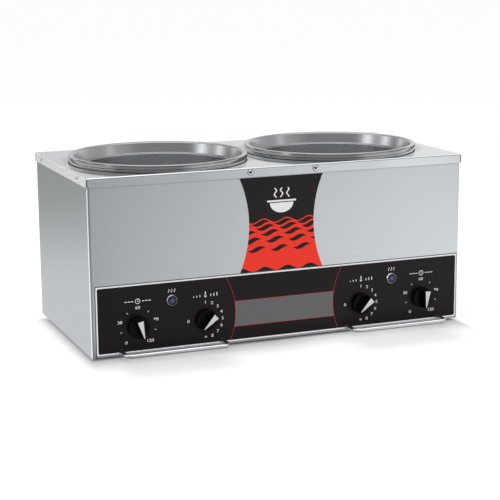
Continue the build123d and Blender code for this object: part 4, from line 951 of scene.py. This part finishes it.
def ink_number(text, height):
    """A number as flat print, with its middle at the origin."""
    deselect()
    bpy.ops.object.text_add()
    bpy.context.active_object.data.body = text
    bpy.context.active_object.data.offset = DIGIT_BOLD
    bpy.ops.object.convert(target="MESH")
    number = bpy.context.active_object
    points = [vertex.co for vertex in number.data.vertices]
    low = Vector((min(p.x for p in points), min(p.y for p in points), 0))
    high = Vector((max(p.x for p in points), max(p.y for p in points), 0))
    size = height / (high.y - low.y)
    number.data.transform(Matrix.Translation(-(low + high) / 2))
    number.data.transform(Matrix.Diagonal((size * DIGIT_WIDEN, size, 1, 1)))
    return raise_ink(number)


def ink_bar(wide, high, cuts=0):
    """An upright bar as flat print, cut across so that it can be bent."""
    deselect()
    bpy.ops.mesh.primitive_grid_add(x_subdivisions=1, y_subdivisions=cuts + 1, size=1)
    bar = bpy.context.active_object
    bar.data.transform(Matrix.Diagonal((wide, high, 1, 1)))
    return bar


def join(name, pieces):
    """Makes one piece of several."""
    select(*pieces)
    bpy.ops.object.join()
    pieces[0].name = name
    return pieces[0]


def at_dial(piece, radius, clockwise):
    """Moves a piece of print out to its place on a dial, upright."""
    piece.data.transform(Matrix.Translation((radius * sin(clockwise), radius * cos(clockwise), 0)))
    return piece


def on_film(node_name, rise=0.0):
    """The place on the panel's film in front of a CAD piece's middle, or above that."""
    middle = middle_of(node_name)
    return Vector((middle.x, film_y, middle.z + rise))


CLOCK_R, CLOCK_LINE, CLOCK_RISE, CLOCK_STEPS = 3.6 * MM, 0.8 * MM, 34.5 * MM, 40
CLOCK_HANDS = ((0.85, 0.36, 0), (0.62, 0.25, -115))  # length and middle, as shares of the face, and degrees
BULB_R, BULB_STEPS, STEM_W, STEM_L, THERMOMETER_RISE = 1.7 * MM, 32, 1.5 * MM, 6.0 * MM, 32.5 * MM
BESIDE_FIRST, BESIDE_STEP, BESIDE_GAP = 7.6 * MM, 4.4 * MM, 1.2 * MM  # the bars on each side of a mark
BESIDE_COUNT = 3  # on each side
MINUTE_BAR, DEGREE_BAR, DEGREE_LOW, DEGREE_HIGH = 1.1 * MM, 1.2 * MM, 1.4 * MM, 4.6 * MM
HEAT_W, HEAT_L, HEAT_STEP, HEAT_SWAY, HEAT_RISE = 1.0 * MM, 4.6 * MM, 4.0 * MM, 0.7 * MM, 13.0 * MM
HEAT_CUTS = 11


def clock_mark():
    """A clock face with two hands."""
    inner = CLOCK_R - CLOCK_LINE
    outline = [(inner, 0), (CLOCK_R, 0), (CLOCK_R, INK_T), (inner, INK_T), (inner, 0)]
    pieces = [turned("mark", outline, (), CLOCK_STEPS)]
    for length, middle, turn in CLOCK_HANDS:
        hand = ink_bar(CLOCK_LINE, inner * length)
        hand.data.transform(Matrix.Translation((0, inner * middle, 0)))
        hand.data.transform(Matrix.Rotation(radians(turn), 4, "Z"))
        pieces.append(raise_ink(hand))
    return join("mark", pieces)


def thermometer_mark():
    """A bulb with a stem above it."""
    bulb = turned("mark", [(BULB_R, 0), (BULB_R, INK_T), (0, INK_T)], (), BULB_STEPS)
    stem = ink_bar(STEM_W, STEM_L)
    stem.data.transform(Matrix.Translation((0, STEM_L / 2, 0)))
    return join("mark", [bulb, raise_ink(stem)])


def beside(sizes, rise):
    """Bars in a row on both sides of a mark, with their feet on one line. sizes lists (width, height)."""
    bars = []
    for number, (wide, high) in enumerate(sizes):
        step = number - (len(sizes) - 1) / 2
        sign = 1 if step > 0 else -1
        bar = raise_ink(ink_bar(wide, high))
        along = sign * (BESIDE_FIRST + BESIDE_STEP * (abs(step) - 0.5))
        bar.data.transform(Matrix.Translation((along, rise + high / 2, 0)))
        bars.append(bar)
    return bars


def heat_mark(name, spot):
    """Three waves of rising heat."""
    waves = []
    for step in (-1, 0, 1):
        wave = ink_bar(HEAT_W, HEAT_L, HEAT_CUTS)
        for vertex in wave.data.vertices:
            vertex.co.x += step * HEAT_STEP + HEAT_SWAY * sin(vertex.co.y * 2 * pi / HEAT_L)
        waves.append(raise_ink(wave))
    return seat(join(name, waves), spot, "front")


BARS = range(2 * BESIDE_COUNT)
DEGREE_RISE = (DEGREE_HIGH - DEGREE_LOW) / (len(BARS) - 1)
MINUTES = [(BESIDE_STEP - BESIDE_GAP, MINUTE_BAR) for number in BARS]
DEGREES = [(DEGREE_BAR, DEGREE_LOW + DEGREE_RISE * number) for number in BARS]


def dial_numbers(numbers, radius):
    """The numbers round a dial, from a list of (number, degrees clockwise)."""
    return [at_dial(ink_number(text, DIGIT_H), radius, radians(turn)) for text, turn in numbers]


for side in SIDES:
    scale = dial_numbers(TIMER_NUMBERS, TIMER_NUMBER_R)
    for turn in TIMER_TICKS:
        tick = raise_ink(ink_bar(TICK_W, TICK_L))
        tick.data.transform(Matrix.Rotation(-radians(turn), 4, "Z"))
        scale.append(at_dial(tick, TIMER_TICK_R, radians(turn)))
    scale.append(at_dial(clock_mark(), CLOCK_RISE, 0))
    scale += beside(MINUTES, CLOCK_RISE - MINUTE_BAR / 2)
    timer_scale = seat(join(f"{side}_timer_scale", scale), on_film(f"{side}_timer_shaft"), "front")
    fit(timer_scale, ink, "case", "label_print")
    scale = dial_numbers(TEMPERATURE_NUMBERS, TEMPERATURE_NUMBER_R)
    scale.append(at_dial(thermometer_mark(), THERMOMETER_RISE, 0))
    scale += beside(DEGREES, THERMOMETER_RISE - BULB_R / 2)
    heat_scale = join(f"{side}_temperature_scale", scale)
    seat(heat_scale, on_film(f"{side}_temperature_shaft"), "front")
    fit(heat_scale, ink, "case", "label_print")
    above_lamp = on_film(f"{side}_lamp_bezel", HEAT_RISE)
    fit(heat_mark(f"{side}_heat_mark", above_lamp), ink, "case", "label_print")

# Label: a black film with a waist, on the front above the panel.
# It is printed with red waves that thin out upwards, and a pale bowl with steam above them.
PRINT_RED, PRINT_PALE = (0.86, 0.035, 0.018, 1), (0.82, 0.82, 0.81, 1)
PRINT_EDGE = 2 * INK_EDGE
WAVES = (  # height above the label's bottom and thickness, in millimetres, and shift in radians
    (16.0, 26.0, 0.0), (36.5, 9.0, 1.3), (47.5, 6.4, 2.6),
    (56.0, 4.4, 3.9), (62.8, 2.8, 5.2), (68.2, 1.6, 6.5),
)
WAVE_H, WAVE_RUN = 2.8 * MM, 190.0  # how high the waves are, and radians a metre along them
BOWL_Z, BOWL_R, BOWL_DEEP = 92.0 * MM, 17.0 * MM, 1.25
BOWL_BRIM, BOWL_BRIM_H = 21.0 * MM, 1.2 * MM
STEAM_LOW, STEAM_HIGH = 99.0 * MM, 112.0 * MM
STEAMS = (-9, 0, 9)  # millimetres from the middle, and shift along each line of steam in radians
STEAM_HALF, STEAM_SWAY, STEAM_RUN = 1.0 * MM, 1.5 * MM, 620.0
LABEL_ROUGH, LABEL_DULL, LABEL_SHINE, LABEL_DEPTH = 0.30, 0.08, 0.22, 0.01 * MM
label_low, label_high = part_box("center_label")
label_film = Finish("label_film")
label_place = label_film.place()
u, v = label_place[0] - (label_low.x + label_high.x) / 2, label_place[2] - label_low.z
red = None
for height, thick, shift in WAVES:
    wave = (v - height * MM - (u * WAVE_RUN + shift).sine() * WAVE_H).within(thick * MM / 2, PRINT_EDGE)
    red = wave if red is None else red.most(wave)
bowl = apart(u, (v - BOWL_Z) * BOWL_DEEP).within(BOWL_R, PRINT_EDGE)
bowl = bowl * v.spread(BOWL_Z - INK_EDGE, BOWL_Z, 1, 0)
brim = u.within(BOWL_BRIM, PRINT_EDGE) * (v - BOWL_Z - 2 * BOWL_BRIM_H).within(BOWL_BRIM_H, PRINT_EDGE)
pale = bowl.most(brim)
steam_level = v - (STEAM_LOW + STEAM_HIGH) / 2
for step in STEAMS:
    steam = (u - step * MM - (v * STEAM_RUN + step).sine() * STEAM_SWAY).within(STEAM_HALF, PRINT_EDGE)
    pale = pale.most(steam * steam_level.within((STEAM_HIGH - STEAM_LOW) / 2, PRINT_EDGE))
label_grain = label_film.specks(label_place, FILM_MARKS)
label_colour = label_film.mix(red, PANEL_BLACK, PRINT_RED)
paint(label_film.surface({
    "Base Color": label_film.mix(pale, label_colour, PRINT_PALE),
    "Roughness": LABEL_ROUGH + (label_grain - 0.5) * LABEL_DULL,
    "Specular IOR Level": LABEL_SHINE,
    "Normal": label_film.bump(label_grain, LABEL_DEPTH, 0.3),
}), "center_label")

# Knobs: moulded black plastic, a round skirt with a wedge-shaped grip across it.
# A pale pointer is set in the grip, and each knob rides on its control's shaft.
KNOB_R, KNOB_SKIRT, KNOB_H = 14.5 * MM, 7.0 * MM, 19.5 * MM
GRIP_L, GRIP_WIDE, GRIP_NARROW, GRIP_DRAFT = 26.4 * MM, 10.0 * MM, 4.6 * MM, 0.94
POINTER_L, POINTER_WIDE, POINTER_NARROW = 23.4 * MM, 7.9 * MM, 1.0 * MM
POINTER_SUNK, POINTER_PROUD = 0.6 * MM, 0.15 * MM
SKIRT_EDGE, GRIP_EDGE, POINTER_EDGE = 1.2 * MM, 0.8 * MM, 0.12 * MM
SKIRT_STEPS, WEDGE_STEPS = 72, 4
RESTS = {  # degrees clockwise
    "left_temperature": 47, "right_temperature": 47, "left_timer": -13, "right_timer": 6,
}


def wedge(name, length, wide, narrow, low, high, draft, edge):
    """A bar along Y, wide at its upper end, drawn up from low to high with a draft and rounded edges."""
    deselect()
    bpy.ops.mesh.primitive_plane_add(size=1)
    piece = bpy.context.active_object
    piece.name = name
    piece.data.transform(Matrix.Translation((0, 0, low)) @ Matrix.Diagonal((wide, length, 1, 1)))
    pick(piece, lambda p: p.y < 0)
    bpy.ops.transform.resize(value=(narrow / wide, 1, 1), center_override=(0, 0, low))
    bpy.ops.mesh.select_all(action="SELECT")
    draw_out(0, 0, high - low)
    bpy.ops.transform.resize(value=(draft, draft, 1), center_override=(0, 0, high))
    pick(piece, lambda p: p.z > (low + high) / 2)
    bpy.ops.mesh.bevel(offset=edge, segments=WEDGE_STEPS, affect="EDGES")
    close_all()
    return piece


KNOB_BLACK, KNOB_WORN = (0.0012, 0.0012, 0.0013), (0.002, 0.002, 0.002)
knob_resin = moulded("knob_resin", KNOB_BLACK, KNOB_WORN, 0.42, 2200, 0.02 * MM, 0.12)
pointer_resin = moulded("pointer_resin", (0.62, 0.64, 0.63), (0.57, 0.59, 0.58), 0.46, 1800, 0.01 * MM)
skirt_outline = [(KNOB_R, 0), (KNOB_R, KNOB_SKIRT), (0, KNOB_SKIRT)]
pointer_size = (POINTER_L, POINTER_WIDE, POINTER_NARROW, KNOB_H - POINTER_SUNK, KNOB_H + POINTER_PROUD, 1.0)
for dial, rest in RESTS.items():
    spot = on_film(f"{dial}_shaft")
    spot.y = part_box(f"{dial}_knob")[1].y
    skirt = turned("skirt", skirt_outline, [(1, SKIRT_EDGE)], SKIRT_STEPS)
    grip = wedge("grip", GRIP_L, GRIP_WIDE, GRIP_NARROW, KNOB_SKIRT / 2, KNOB_H, GRIP_DRAFT, GRIP_EDGE)
    knob = seat(join(f"{dial}_cap", [skirt, grip]), spot, "front", radians(rest))
    fit(knob, knob_resin, f"{dial}_knob", "knob_black", f"{dial}_knob")
    pointer = seat(wedge(f"{dial}_mark", *pointer_size, POINTER_EDGE), spot, "front", radians(rest))
    fit(pointer, pointer_resin, f"{dial}_knob", "pointer_pale", f"{dial}_pointer")

# Lamps: a chromed bezel round a domed lens of blue plastic, above each pair of knobs.
# The bezel goes through the panel, and a nut behind the front holds it.
BEZEL_R, BEZEL_T, BEZEL_BORE, BEZEL_TUBE = 7.8 * MM, 2.2 * MM, 6.5 * MM, 7.2 * MM
BEZEL_EDGE, BEZEL_BROW = 0.5 * MM, 6.75 * MM  # height of its upright edge, and radius of its brow
BEZEL_DEEP = 9.0 * MM
BEZEL_BENDS, LAMP_STEPS = [(4, 0.25 * MM), (5, 0.3 * MM)], 64
LENS_R, LENS_BASE, LENS_DOME, LENS_RINGS = 6.4 * MM, 0.8 * MM, 1.6 * MM, 6
LENS_DARK, LENS_MID, LENS_HIGHLIGHT = (0.003, 0.006, 0.020, 1), (0.016, 0.028, 0.075, 1), (0.09, 0.125, 0.22, 1)
TINT_EDGE = (0.55 * LENS_R, 0.95 * LENS_R)
# A highlight painted over the lens's middle: where it fades out, how strong it is, and how much its edge is
# broken.
HIGHLIGHT_EDGE, HIGHLIGHT_SHARE, HIGHLIGHT_BREAK = (0.15 * LENS_R, 0.5 * LENS_R), 0.8, 3 * MM
FLUTES, FLUTE_DEPTH = (900, 200, 900), 0.1 * MM
LENS_ROUGH, LENS_DULL, LENS_SHINE = 0.16, 0.08, 0.35
chrome = plated("bezel_chrome", (0.74, 0.75, 0.77), 0.10)


def blue_lens(name, spot):
    """Tinted plastic, darker towards its edge, with a highlight painted over its middle."""
    finish = Finish(name)
    x, y, z = finish.place()
    x, z = x - spot.x, z - spot.z
    out = apart(x, z)
    flute = finish.noise(x * FLUTES[0], y * FLUTES[1], z * FLUTES[2])
    tint = finish.mix(out.spread(*TINT_EDGE, 1, 0), LENS_DARK, LENS_MID)
    painted_highlight = (out + (flute - 0.5) * HIGHLIGHT_BREAK).spread(*HIGHLIGHT_EDGE, HIGHLIGHT_SHARE, 0)
    return finish.surface({
        "Base Color": finish.mix(painted_highlight, tint, LENS_HIGHLIGHT),
        "Roughness": LENS_ROUGH + flute * LENS_DULL,
        "Specular IOR Level": LENS_SHINE,
        "Normal": finish.bump(flute, FLUTE_DEPTH, 0.4),
    })


bezel_outline = [
    (BEZEL_BORE, -BEZEL_DEEP), (BEZEL_TUBE, -BEZEL_DEEP), (BEZEL_TUBE, 0), (BEZEL_R, 0),
    (BEZEL_R, BEZEL_EDGE), (BEZEL_BROW, BEZEL_T), (BEZEL_BORE, BEZEL_T), (BEZEL_BORE, -BEZEL_DEEP),
]
dome_leans = [step * pi / (2 * LENS_RINGS) for step in range(1, LENS_RINGS)]
dome = [(LENS_R * cos(lean), LENS_BASE + LENS_DOME * sin(lean)) for lean in dome_leans]
lens_outline = [(LENS_R, -LENS_DOME), (LENS_R, LENS_BASE), *dome, (0, LENS_BASE + LENS_DOME)]
for side in SIDES:
    spot = on_film(f"{side}_lamp_bezel")
    bezel = seat(turned(f"{side}_bezel", bezel_outline, BEZEL_BENDS, LAMP_STEPS), spot, "front")
    fit(bezel, chrome, "case", "lamp_chrome", f"{side}_lamp_bezel")
    lamp_lens = seat(turned(f"{side}_lens", lens_outline, (), LAMP_STEPS), spot, "front")
    fit(lamp_lens, blue_lens(f"{side}_lens_blue", spot), "case", "lens_blue", f"{side}_lamp_lens")
    paint(control_resin, f"{side}_lamp_body")
paint(screw_zinc, "lamp_nuts")

# Guards: a chromed steel rod bent to a U in front of each pair of knobs.
# Its legs go in under the casing, where straps clamp them to the base.
ROD_R, ROD_BEND = 3.1 * MM, 9.0 * MM
ROD_SIDES, ROD_BEND_STEPS = 28, 12
UNDERSIDE_SHADE = (-0.5 * ROD_R, 0.45 * ROD_R, 0.52, 1.0)  # painted shade, from below the rod's middle to above, and its tone at each
guard_level = middle_of("left_knob_guard").z


def dull_under(x, y, z):
    """Shade painted on the rod's underside, darker below its middle."""
    return (z - guard_level).spread(*UNDERSIDE_SHADE)


wire_chrome = plated("wire_chrome", (0.97, 0.975, 0.98), 0.25, dull_under)
for side in SIDES:
    low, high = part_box(f"{side}_knob_guard")
    leg_left, leg_right, front_y = low.x + ROD_R, high.x - ROD_R, low.y + ROD_R
    deselect()
    bpy.ops.mesh.primitive_circle_add(vertices=ROD_SIDES, radius=ROD_R, fill_type="NGON")
    rod = bpy.context.active_object
    rod.name = f"{side}_guard"
    seat(rod, (leg_left, high.y, guard_level), "front")
    open_all()
    bend_y = front_y + ROD_BEND
    draw_out(0, bend_y - high.y, 0)
    quarter = {"steps": ROD_BEND_STEPS, "angle": -pi / 2, "axis": (0, 0, 1)}
    bpy.ops.mesh.spin(center=(leg_left + ROD_BEND, bend_y, guard_level), **quarter)
    draw_out(leg_right - leg_left - 2 * ROD_BEND, 0, 0)
    bpy.ops.mesh.spin(center=(leg_right - ROD_BEND, bend_y, guard_level), **quarter)
    draw_out(0, high.y - bend_y, 0)
    weld()
    close_all()
    fit(rod, wire_chrome, "case", "chrome_wire", f"{side}_knob_guard")
paint(screw_zinc, "guard_straps", "strap_screws")

# Mains entry: a terminal block inside, and a black cable gland through the back.
# The gland is a hexagon of moulded nylon with a tapered cap and an open bore, held by a nut inside the back.
gland_resin = moulded("gland_resin", (0.012, 0.012, 0.012), (0.03, 0.03, 0.03), 0.55)
terminal_resin = moulded("terminal_resin", (0.62, 0.60, 0.54), (0.52, 0.50, 0.44), 0.55)
paint(terminal_resin, "terminal_block")
paint(screw_zinc, "block_screws")
paint(gland_resin, "gland_nut", "cord_gland")
